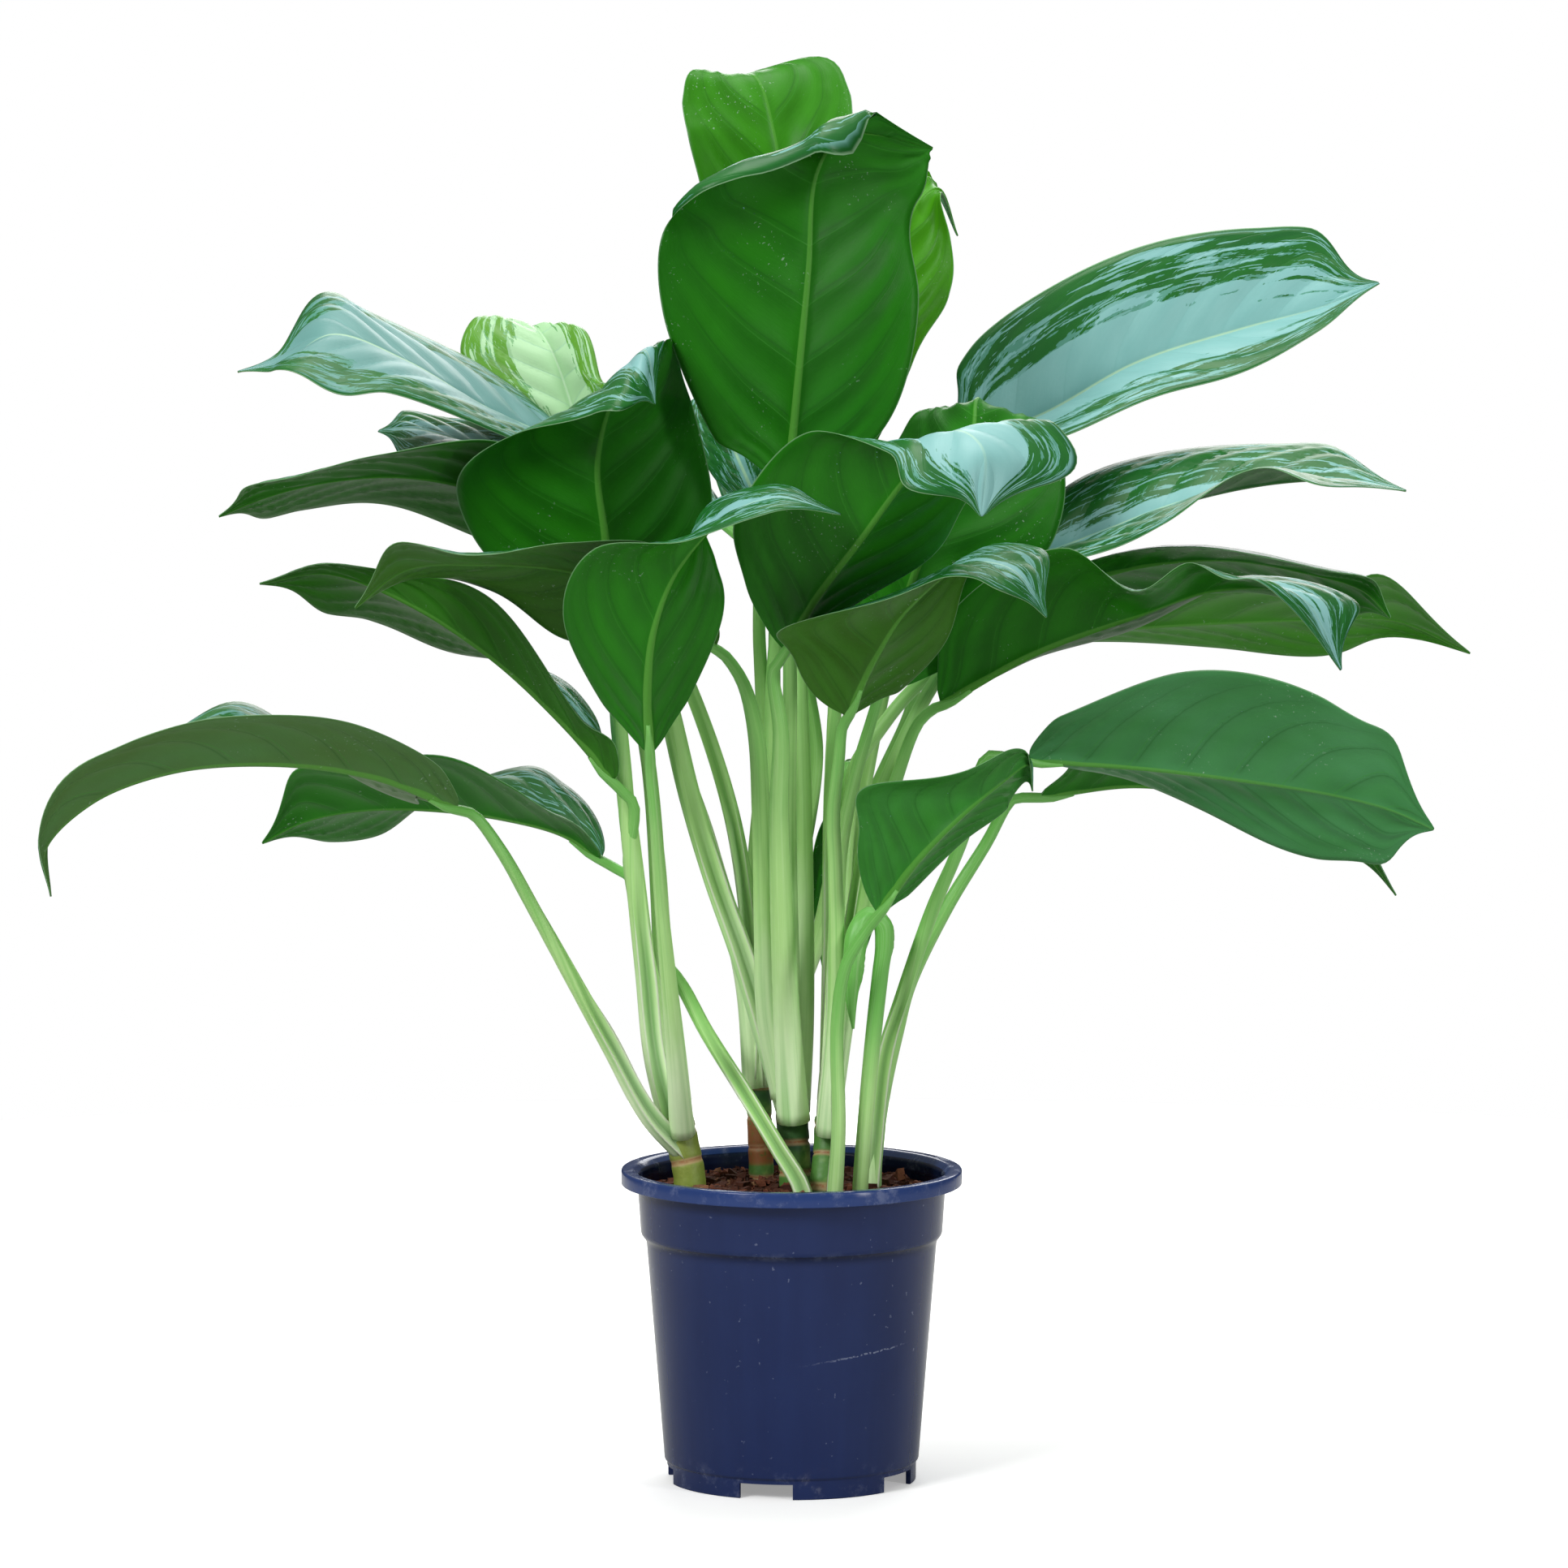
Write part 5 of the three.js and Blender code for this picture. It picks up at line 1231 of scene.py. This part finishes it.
seed = 0
for shoot_name, shoot in SHOOTS.items():
    if "cane" in shoot:
        seed += 1
        shoot["olive"] = 0.9 if shoot_name == "stem_left" else 0.0
        shoot["papery"] = 1.0 if shoot_name == "stem_back" else 0.0
        make_cane(shoot_name.replace("stem_", "cane_"), shoot, cane_finish, shoot_name, seed)
    for leaf_name, leaf in shoot["leaves"].items():
        seed += 1
        leaf["young"] = LEAF_FRESHNESS_AND_SHADE.get(leaf_name, 0.0)
        leaf["silver"] = SILVER_REACH.get(leaf_name, 0.5)
        leaf["dust_and_sheen"] = DUST_AND_SHEEN.get(leaf_name, 0.0)
        leaf["open_front"] = leaf_name in OPEN_FRONTS
        short = leaf_name.replace("leaf_", "")
        make_blade("blade_" + short, leaf, [leaf_upper, leaf_under], seed)
        if "cane" not in shoot:
            leaf["stalk"] = [(*shoot["foot"], SOIL_LEVEL - 14), *leaf["stalk"]]
        pale = 0.12 if "cane" in shoot else -0.1
        make_stalk("stalk_" + short, leaf, stalk_finish, shoot_name, seed, pale)

# %% [markdown]
# ## The rolled young leaf
#
# The youngest leaf is still rolled up like an umbrella. It has bent over at the top and hangs beside its
# stalk. A spindle with a spiral seam shows the roll.

# %% Sprout
SPROUT_FOOT = (38, -22)
SPROUT_STALK = [(38, -22, 101), (38, -22, 130), (38, -22, 164), (41, -25, 206), (45, -28, 251),
                (49, -30, 288), (51, -31, 305)]
SPROUT_ROLL = [(51, -31, 305), (50, -32, 316), (43, -33, 320), (37, -34, 312), (34, -35, 294), (33, -35, 274),
               (34, -36, 258)]
SPROUT_SIDES = 32


def make_sprout():
    line = Line(SPROUT_STALK + SPROUT_ROLL[1:])
    rings = int(line.length / 2.2)
    share = np.linspace(0, 1, rings)
    bend = Line(SPROUT_STALK).length / line.length
    plain = np.interp(share, [0, bend * 0.5, bend * 0.95, bend + 0.04, bend + 0.12, bend + 0.2, 1],
                      [4.5, 4.4, 4.6, 5.4, 6.6, 5.2, 0.7])
    turns = np.linspace(-math.pi, math.pi, SPROUT_SIDES, endpoint=False)
    centres = line.at(share)
    _, fronts, rights = carried_frames(centres, np.array([0.0, -1.0, 0.2]))
    rolled = smooth(bend * 0.82, bend, share)[:, None]
    twist = (turns[None, :] + share[:, None] * 16) % (2 * math.pi)
    seam = np.exp(-(twist / 0.35) ** 2) - 0.7 * np.exp(-((twist - 0.75) / 0.3) ** 2)
    radii = plain[:, None] * (1 + 0.14 * rolled * seam)
    points = sweep_points(centres, fronts, rights, turns, radii)
    faces = tube_faces(rings, SPROUT_SIDES)
    stored = {
        "along": np.repeat(0.25 + 0.75 * smooth(0.3, bend, share), SPROUT_SIDES),
        "arc": np.repeat(share * line.length, SPROUT_SIDES) * MM,
        "facing": np.tile(np.cos(turns), rings) * 0.7,
        "sideways": np.tile(np.sin(turns), rings),
        "edge": (rolled * np.exp(-((twist - 0.5) / 0.18) ** 2) * 0.5).ravel(),
        "seed": np.full(rings * SPROUT_SIDES, 3.0),
        "pale": np.full(rings * SPROUT_SIDES, -0.05),
    }
    points = points.reshape(-1, 3)
    return make_piece("young_leaf_roll", points, faces, [stalk_finish], "sprout", stored)


print("sprout:", len(make_sprout().data.polygons), "faces")

# %% [markdown]
# ## The pot
#
# The nursery pot is blown or moulded from thin dark blue plastic: a hanging lip, a straight collar, a step
# below it, a tapered body and a foot with five notches that let water run off. One profile turned about the
# axis gives all of it but the notches and drain holes, which are cut with Boolean modifiers.

# %% Pot profile
POT_TURNS = 144
POT_PROFILE = [
    (0, 9, 0), (66.5, 9, 0.8), (66.5, 0, 0.6), (69.5, 0, 0.8), (69.6, 10.6, 0.5), (71.0, 12, 0.7),
    (81, 135.2, 2.2), (84, 138.6, 1.8), (86.3, 173.0, 0.8), (93.2, 173.2, 0.6), (93.4, 166.5, 0.5),
    (95, 166.7, 0.6), (95, 175, 1.5), (88.3, 175, 1.6), (84.6, 171, 1.5), (82.4, 138.6, 2.0),
    (79.4, 135.2, 2.0), (69.4, 11.5, 3.0), (0, 11.5, 0),
]


def rounded(profile, steps=4):
    """The profile with each corner replaced by a small arc of the given radius."""
    points = []
    for k, (r, z, radius) in enumerate(profile):
        here = np.array([r, z], float)
        if radius == 0:
            points.append(here)
            continue
        before = unit(np.array(profile[k - 1][:2], float) - here)
        after = unit(np.array(profile[k + 1][:2], float) - here)
        for i in range(steps + 1):
            t = i / steps
            points.append(here + radius * (before * (1 - t) ** 2 + after * t ** 2))
    return points


def turned(name, profile, turns, finishes, slot, stands_for):
    ring = np.linspace(0, 2 * math.pi, turns, endpoint=False)
    points = [(0.0, 0.0, profile[0][1])]
    for r, z in profile[1:-1]:
        points += [(r * math.cos(turn), r * math.sin(turn), z) for turn in ring]
    points.append((0.0, 0.0, profile[-1][1]))
    last = len(points) - 1
    rows = len(profile) - 2
    faces = grid_faces(rows, turns, first=1, closed=True)
    for k in range(turns):
        following = (k + 1) % turns
        faces.append((0, 1 + following, 1 + k))
        faces.append((last, 1 + (rows - 1) * turns + k, 1 + (rows - 1) * turns + following))
    return make_piece(name, points, faces, finishes, stands_for)


print("the rounded profile has", len(rounded(POT_PROFILE)), "points")

# %% [markdown]
# The plastic is glossy. Wherever the pot has rubbed against others it is scuffed: on the lip, on the shoulder
# and near the foot. It has a fine vertical flow from the mould, specks of dust and one long pale scratch
# across the right of the front. The lip is painted lighter as a painted highlight, and the inside above the
# soil is darkened with painted shade. These values are in metres, as the finish sees them.

# %% Pot finish
NAVY = colour("#182249")
NAVY_INSIDE_SHADE = colour("#080c1e")
NAVY_PALE_AND_LIP_HIGHLIGHT = colour("#334a84")
NAVY_DUST = colour("#8a93ad")
SOIL_SMEAR = colour("#4d4650")
SHOULDER_AT = 0.1375
COLLAR_FOOT = 0.1386
COLLAR_MID_RADIUS = 0.0832  # halfway through the wall, at the collar's foot
COLLAR_FLARE = 0.068
SCRATCH_HEIGHT = 0.0755
SCRATCH_SLOPE = 0.13
SCRATCH_END = (0.0715, 0.073)


def pot_plastic():
    finish = Finish("pot_plastic", IOR=1.32)
    where = finish.position()
    x, y, z = finish.parts_of(where)
    flow = finish.noise(finish.place(x * 90, y * 90, z * 3), 1.0, 3, 0.5)
    cloud = finish.noise(where, 14, 4, 0.6)
    grain = finish.noise(where, 900, 2, 0.5)
    specks = finish.noise(where, 260, 2, 0.5).step(0.70, 0.76)
    lip = z.step(0.1655, 0.1675)
    shoulder = 1 - (abs(z - SHOULDER_AT)).step(0.0005, 0.0035)
    foot = 1 - z.step(0.008, 0.022)
    rubbed = finish.noise(where, 70, 5, 0.7).step(0.5, 0.72)
    scuffed = ((lip + shoulder * 0.4 + foot * 0.8) * rubbed).at_most(1.0)
    slope = z - SCRATCH_HEIGHT - x * SCRATCH_SLOPE
    fray = (finish.noise(where, 180, 2, 0.5) - 0.5) * 0.004
    front = 1 - y.step(-0.06, -0.04)
    scratch = (1 - (abs(slope + fray * 0.5)).step(0.0002, 0.0007)) * x.step(0.0, 0.05) * front
    scratch = scratch * finish.noise(where, 500, 2, 0.6).step(0.42, 0.55) * (1 - x.step(*SCRATCH_END))
    # Cloud and flow vary the plastic's own tone. The lip is painted lighter as a painted highlight.
    skin = finish.mix(NAVY, NAVY_PALE_AND_LIP_HIGHLIGHT, cloud * 0.2 + flow * 0.15 + lip * 0.5)
    # The inside above the soil is darkened with painted shade.
    mid_wall = (z - COLLAR_FOOT) * COLLAR_FLARE + COLLAR_MID_RADIUS
    inside = 1 - (x * x + y * y - mid_wall * mid_wall).step(-0.00002, 0.00002)
    skin = finish.mix(skin, NAVY_INSIDE_SHADE, inside * z.step(0.13, 0.14) * 0.8)
    skin = finish.mix(skin, NAVY_DUST, (specks * 0.35 + scuffed * 0.30 + scratch * 0.75).at_most(1.0))
    dirt = foot * finish.noise(where, 35, 4, 0.6).step(0.55, 0.75) * 0.5
    skin = finish.mix(skin, SOIL_SMEAR, dirt)
    rough = 0.1 + cloud * 0.1 + scuffed * 0.3 + scratch * 0.3 + dirt * 0.3
    normal = finish.bump(flow * 0.5 + grain * 0.1 + scratch * -1.0 + scuffed * 0.3, 0.18, 0.0006)
    return finish.set(Base_Color=skin, Roughness=rough, Normal=normal)


pot_finish = pot_plastic()
print("pot finish:", len(pot_finish.node_tree.nodes), "nodes")

# %% Pot piece
FOOT_NOTCHES = 5
NOTCH_WIDTH = 30
NOTCH_HEIGHT = 8.6
FIRST_NOTCH_TURN = -102
DRAIN_HOLES = 5
DRAIN_HOLE_RADIUS = 6
DRAIN_HOLE_CIRCLE = 50
DRAIN_HOLE_SIDES = 20
CREASE_ANGLE = 40
FOOT_RADIUS = 69.5


def cutter(points, faces):
    mesh = bpy.data.meshes.new("cutter")
    mesh.from_pydata((np.asarray(points) * MM).tolist(), [], faces)
    tool = bpy.data.objects.new("cutter", mesh)
    bpy.context.scene.collection.objects.link(tool)
    return tool


def prism(outline_points, bottom, top):
    n = len(outline_points)
    points = [(x, y, bottom) for x, y in outline_points] + [(x, y, top) for x, y in outline_points]
    faces = [tuple(range(n))[::-1], tuple(range(n, 2 * n))]
    faces += [(k, (k + 1) % n, n + (k + 1) % n, n + k) for k in range(n)]
    return cutter(points, faces)


def cut_pot(pot):
    tools = []
    for k in range(FOOT_NOTCHES):
        turn = math.radians(FIRST_NOTCH_TURN + 360 / FOOT_NOTCHES * k)
        out, side = np.array([math.cos(turn), math.sin(turn)]), np.array([-math.sin(turn), math.cos(turn)])
        near, far, half = FOOT_RADIUS - 10, FOOT_RADIUS + 10, NOTCH_WIDTH / 2
        corners = [out * near - side * half, out * far - side * half, out * far + side * half,
                   out * near + side * half]
        tools.append(prism([tuple(c) for c in corners], -5, NOTCH_HEIGHT))
    for k in range(DRAIN_HOLES):
        turn = math.radians(FIRST_NOTCH_TURN + 360 / DRAIN_HOLES * (k + 0.5))
        middle = np.array([math.cos(turn), math.sin(turn)]) * DRAIN_HOLE_CIRCLE
        ring = [2 * math.pi * i / DRAIN_HOLE_SIDES for i in range(DRAIN_HOLE_SIDES)]
        circle = [tuple(middle + DRAIN_HOLE_RADIUS * np.array([math.cos(a), math.sin(a)])) for a in ring]
        tools.append(prism(circle, 4, 16))
    for tool in tools:
        modifier = pot.modifiers.new("cut", "BOOLEAN")
        modifier.operation = "DIFFERENCE"
        modifier.object = tool
        modifier.solver = "EXACT"
    cut = bpy.data.meshes.new_from_object(pot.evaluated_get(bpy.context.evaluated_depsgraph_get()))
    pot.modifiers.clear()
    pot.data = cut
    for tool in tools:
        bpy.data.objects.remove(tool)
    cut.polygons.foreach_set("use_smooth", np.ones(len(cut.polygons), bool))
    cut.set_sharp_from_angle(angle=math.radians(CREASE_ANGLE))


pot = turned("nursery_pot", rounded(POT_PROFILE), POT_TURNS, [pot_finish], "pot", "pot")
cut_pot(pot)
print("pot:", len(pot.data.polygons), "faces")

# %% [markdown]
# ## The soil
#
# The mix is coarse, reddish brown coir and bark. The bed is a lumpy surface over a plain body. On it lie
# loose crumbs and fibres, each a small closed shape of its own, all in one piece.

# %% Soil finish
SOIL_DARK = colour("#33221f")
SOIL_BROWN = colour("#5a3223")
SOIL_RED = colour("#7d4a35")
SOIL_STRAW = colour("#a37d5c")


def soil_mix():
    finish = Finish("soil_mix", Roughness=0.95, Specular_IOR_Level=0.2)
    where = finish.position()
    tone = finish.stored("tone")
    fibre = finish.noise(where, 330, 5, 0.7)
    lumps = finish.noise(where, 90, 4, 0.6)
    skin = finish.mix(SOIL_DARK, SOIL_BROWN, (lumps * 0.7 + fibre * 0.5 + tone * 0.5 - 0.25))
    skin = finish.mix(skin, SOIL_RED, tone.step(0.55, 0.95) * 0.7)
    skin = finish.mix(skin, SOIL_STRAW, tone.step(0.93, 1.0) * 0.7)
    normal = finish.bump(fibre + lumps * 0.6, 0.8, 0.002)
    return finish.set(Base_Color=skin, Normal=normal)


soil_finish = soil_mix()
print("soil finish is ready")

# %% Soil bed
SOIL_TURNS = 120
SOIL_RINGS = 44
SOIL_LUMP = 2.2
SOIL_RADIUS = 82.9


def soil_height(x, y):
    lumps = np.sin(x * 0.21 + 1.3) * np.cos(y * 0.17) + 0.6 * np.sin(x * 0.09 - y * 0.31)
    return SOIL_LEVEL + SOIL_LUMP * 0.5 * lumps + 1.5 * np.cos(np.hypot(x, y) * 0.018)


def fine_lumps(x, y):
    rough = np.zeros_like(x)
    for k in range(14):
        turn, wave = rng.uniform(0, math.pi), rng.uniform(0.25, 1.4)
        rough += np.sin((x * math.cos(turn) + y * math.sin(turn)) * wave + rng.uniform(0, 6)) * 0.55 / wave
    return rough * 0.35


def make_soil_bed():
    rings = [(69.0, 12.0), (78.6, 134.0), (81.5, 139.0), (SOIL_RADIUS, 157.5)]
    turn = np.linspace(0, 2 * math.pi, SOIL_TURNS, endpoint=False)
    rows = [np.stack([r * np.cos(turn), r * np.sin(turn), np.full_like(turn, z)], 1) for r, z in rings]
    radii = np.linspace(SOIL_RADIUS, 1.2, SOIL_RINGS)
    x, y = radii[:, None] * np.cos(turn), radii[:, None] * np.sin(turn)
    z = soil_height(x, y) + fine_lumps(x, y)
    rows += list(np.stack([x, y, z], -1))
    points = np.vstack(rows)
    faces = tube_faces(len(rows), SOIL_TURNS)
    stored = {"tone": np.clip(rng.normal(0.35, 0.15, len(points)), 0, 0.9)}
    return make_piece("soil_bed", points, faces, [soil_finish], "soil", stored)


print("soil bed:", len(make_soil_bed().data.polygons), "faces")

# %% Crumbs and fibres
CRUMBS = 1500
FIBRES = 420
CRUMB_SPREAD = 81.5
CRUMB_EDGE = 82.5
LARGEST_CRUMB = 3.2


def crumb(middle, size, stretch):
    """A lump with eight uneven corners, turned any way and drawn out along one side."""
    corners = np.array([(x, y, z) for z in (-1, 1) for x, y in ((-1, -1), (1, -1), (1, 1), (-1, 1))], float)
    corners *= rng.uniform(0.55, 1.0, (8, 3)) * size * np.array([stretch, 1.0, 0.7])
    turn, tilt = rng.uniform(0, 2 * math.pi), rng.normal(0, 0.35)
    across = np.array([[math.cos(turn), -math.sin(turn), 0], [math.sin(turn), math.cos(turn), 0], [0, 0, 1]])
    over = np.array([[math.cos(tilt), 0, math.sin(tilt)], [0, 1, 0], [-math.sin(tilt), 0, math.cos(tilt)]])
    return corners @ over.T @ across.T + middle


def make_crumbs():
    points, faces, tones = [], [], []
    box_faces = [(0, 3, 2, 1), (4, 5, 6, 7), (0, 1, 5, 4), (1, 2, 6, 5), (2, 3, 7, 6), (3, 0, 4, 7)]
    feet = [(shoot["foot"], shoot["footRadius"]) for shoot in SHOOTS.values()] + [(SPROUT_FOOT, 4.6)]
    made = 0
    while made < CRUMBS + FIBRES:
        radius, turn = CRUMB_SPREAD * math.sqrt(rng.uniform()), rng.uniform(0, 2 * math.pi)
        x, y = radius * math.cos(turn), radius * math.sin(turn)
        fibre = made >= CRUMBS
        size = rng.uniform(0.22, 0.4) if fibre else rng.gamma(2.2, 0.55) + 0.4
        size = min(size, LARGEST_CRUMB)
        stretch = rng.uniform(9, 22) if fibre else rng.uniform(1.0, 2.0)
        if radius + size * stretch > CRUMB_EDGE:
            continue
        if any(math.hypot(x - fx, y - fy) < fr + 0.5 + size * stretch * 0.7 for (fx, fy), fr in feet):
            continue
        base = float(soil_height(np.array(x), np.array(y)))
        middle = np.array([x, y, base + rng.uniform(0.1, 0.9) * size + (0.5 if fibre else 0.0)])
        first = 8 * made
        points.append(crumb(middle, size, stretch))
        faces += [tuple(first + k for k in face) for face in box_faces]
        tones += [rng.uniform(0.2, 1.0)] * 8
        made += 1
    return make_piece("soil_crumbs", np.vstack(points), faces, [soil_finish], "soil", {"tone": tones})


crumbs = make_crumbs()
crumbs.data.polygons.foreach_set("use_smooth", np.zeros(len(crumbs.data.polygons), bool))
print("crumbs and fibres:", CRUMBS + FIBRES)

# %% [markdown]
# ## Light and floor
#
# The plant stands in a white studio. The world is bright overhead and dim at the sides, although the camera
# sees it plain white, and five soft panels give the rest, the strongest from the upper left in front. The
# floor is matt. The camera sees it almost white, and the light that bounces off it is a little greyer.

# %% Studio
WALL_SEEN = 1.0
WALL_LIGHT = 0.06
CEILING_LIGHT = 0.6
FLOOR_RADIUS = 1.5
FLOOR_SIDES = 96


def make_floor():
    mesh = bpy.data.meshes.new("floor")
    ring = [2 * math.pi * k / FLOOR_SIDES for k in range(FLOOR_SIDES)]
    disc = [(FLOOR_RADIUS * math.cos(turn), FLOOR_RADIUS * math.sin(turn), 0) for turn in ring]
    mesh.from_pydata(disc, [], [tuple(range(FLOOR_SIDES))])
    floor = bpy.data.objects.new("floor", mesh)
    bpy.context.scene.collection.objects.link(floor)
    finish = Finish("floor_pale", Roughness=0.9, Specular_IOR_Level=0.1, Emission_Strength=0.3)
    seen = add_node(finish.tree, "ShaderNodeLightPath", output="Is Camera Ray")
    tone = finish.mix(colour("#bdbdb9"), colour("#fbfbfa"), seen)
    glow = finish.mix(colour("#000000"), colour("#ffffff"), seen)
    mesh.materials.append(finish.set(Base_Color=tone, Emission_Color=glow))


def make_panel(name, place, aim, wide, high, watts):
    data = bpy.data.lights.new(name, "AREA")
    data.shape = "RECTANGLE"
    data.size = wide
    data.size_y = high
    data.energy = watts
    panel = bpy.data.objects.new(name, data)
    panel.location = place
    panel.rotation_euler = (Vector(aim) - Vector(place)).to_track_quat("-Z", "Y").to_euler()
    bpy.context.scene.collection.objects.link(panel)


make_floor()
make_panel("key_panel", (-2.2, -2.6, 2.4), (0, 0, 0.45), 1.2, 1.2, 90)
make_panel("left_strip", (-1.5, -2.4, 0.7), (0, 0, 0.4), 0.25, 1.5, 5)
make_panel("right_strip", (2.2, -1.9, 0.8), (0, 0, 0.4), 0.4, 1.6, 28)
make_panel("top_panel", (0.2, 0.3, 2.9), (0, 0, 0), 1.6, 1.6, 42)
make_panel("back_panel", (0.4, 2.4, 1.6), (0, 0, 0.5), 1.8, 1.2, 30)

world = bpy.data.worlds.new("studio")
world.use_nodes = True
backdrop = world.node_tree.nodes["Background"]
backdrop.inputs["Color"].default_value = (1, 1, 1, 1)
seen = add_node(world.node_tree, "ShaderNodeLightPath", output="Is Camera Ray")
towards = add_node(world.node_tree, "ShaderNodeTexCoord", output="Generated")
height = add_node(world.node_tree, "ShaderNodeSeparateXYZ", None, {"Vector": towards}, "Z")
glow = height.step(0.05, 0.95) * (CEILING_LIGHT - WALL_LIGHT) + WALL_LIGHT
strength = seen * (WALL_SEEN - glow) + glow
world.node_tree.links.new(strength.socket, backdrop.inputs["Strength"])
bpy.context.scene.world = world
bpy.context.scene.view_settings.view_transform = "Standard"
print("five panels and the studio's walls are lit")
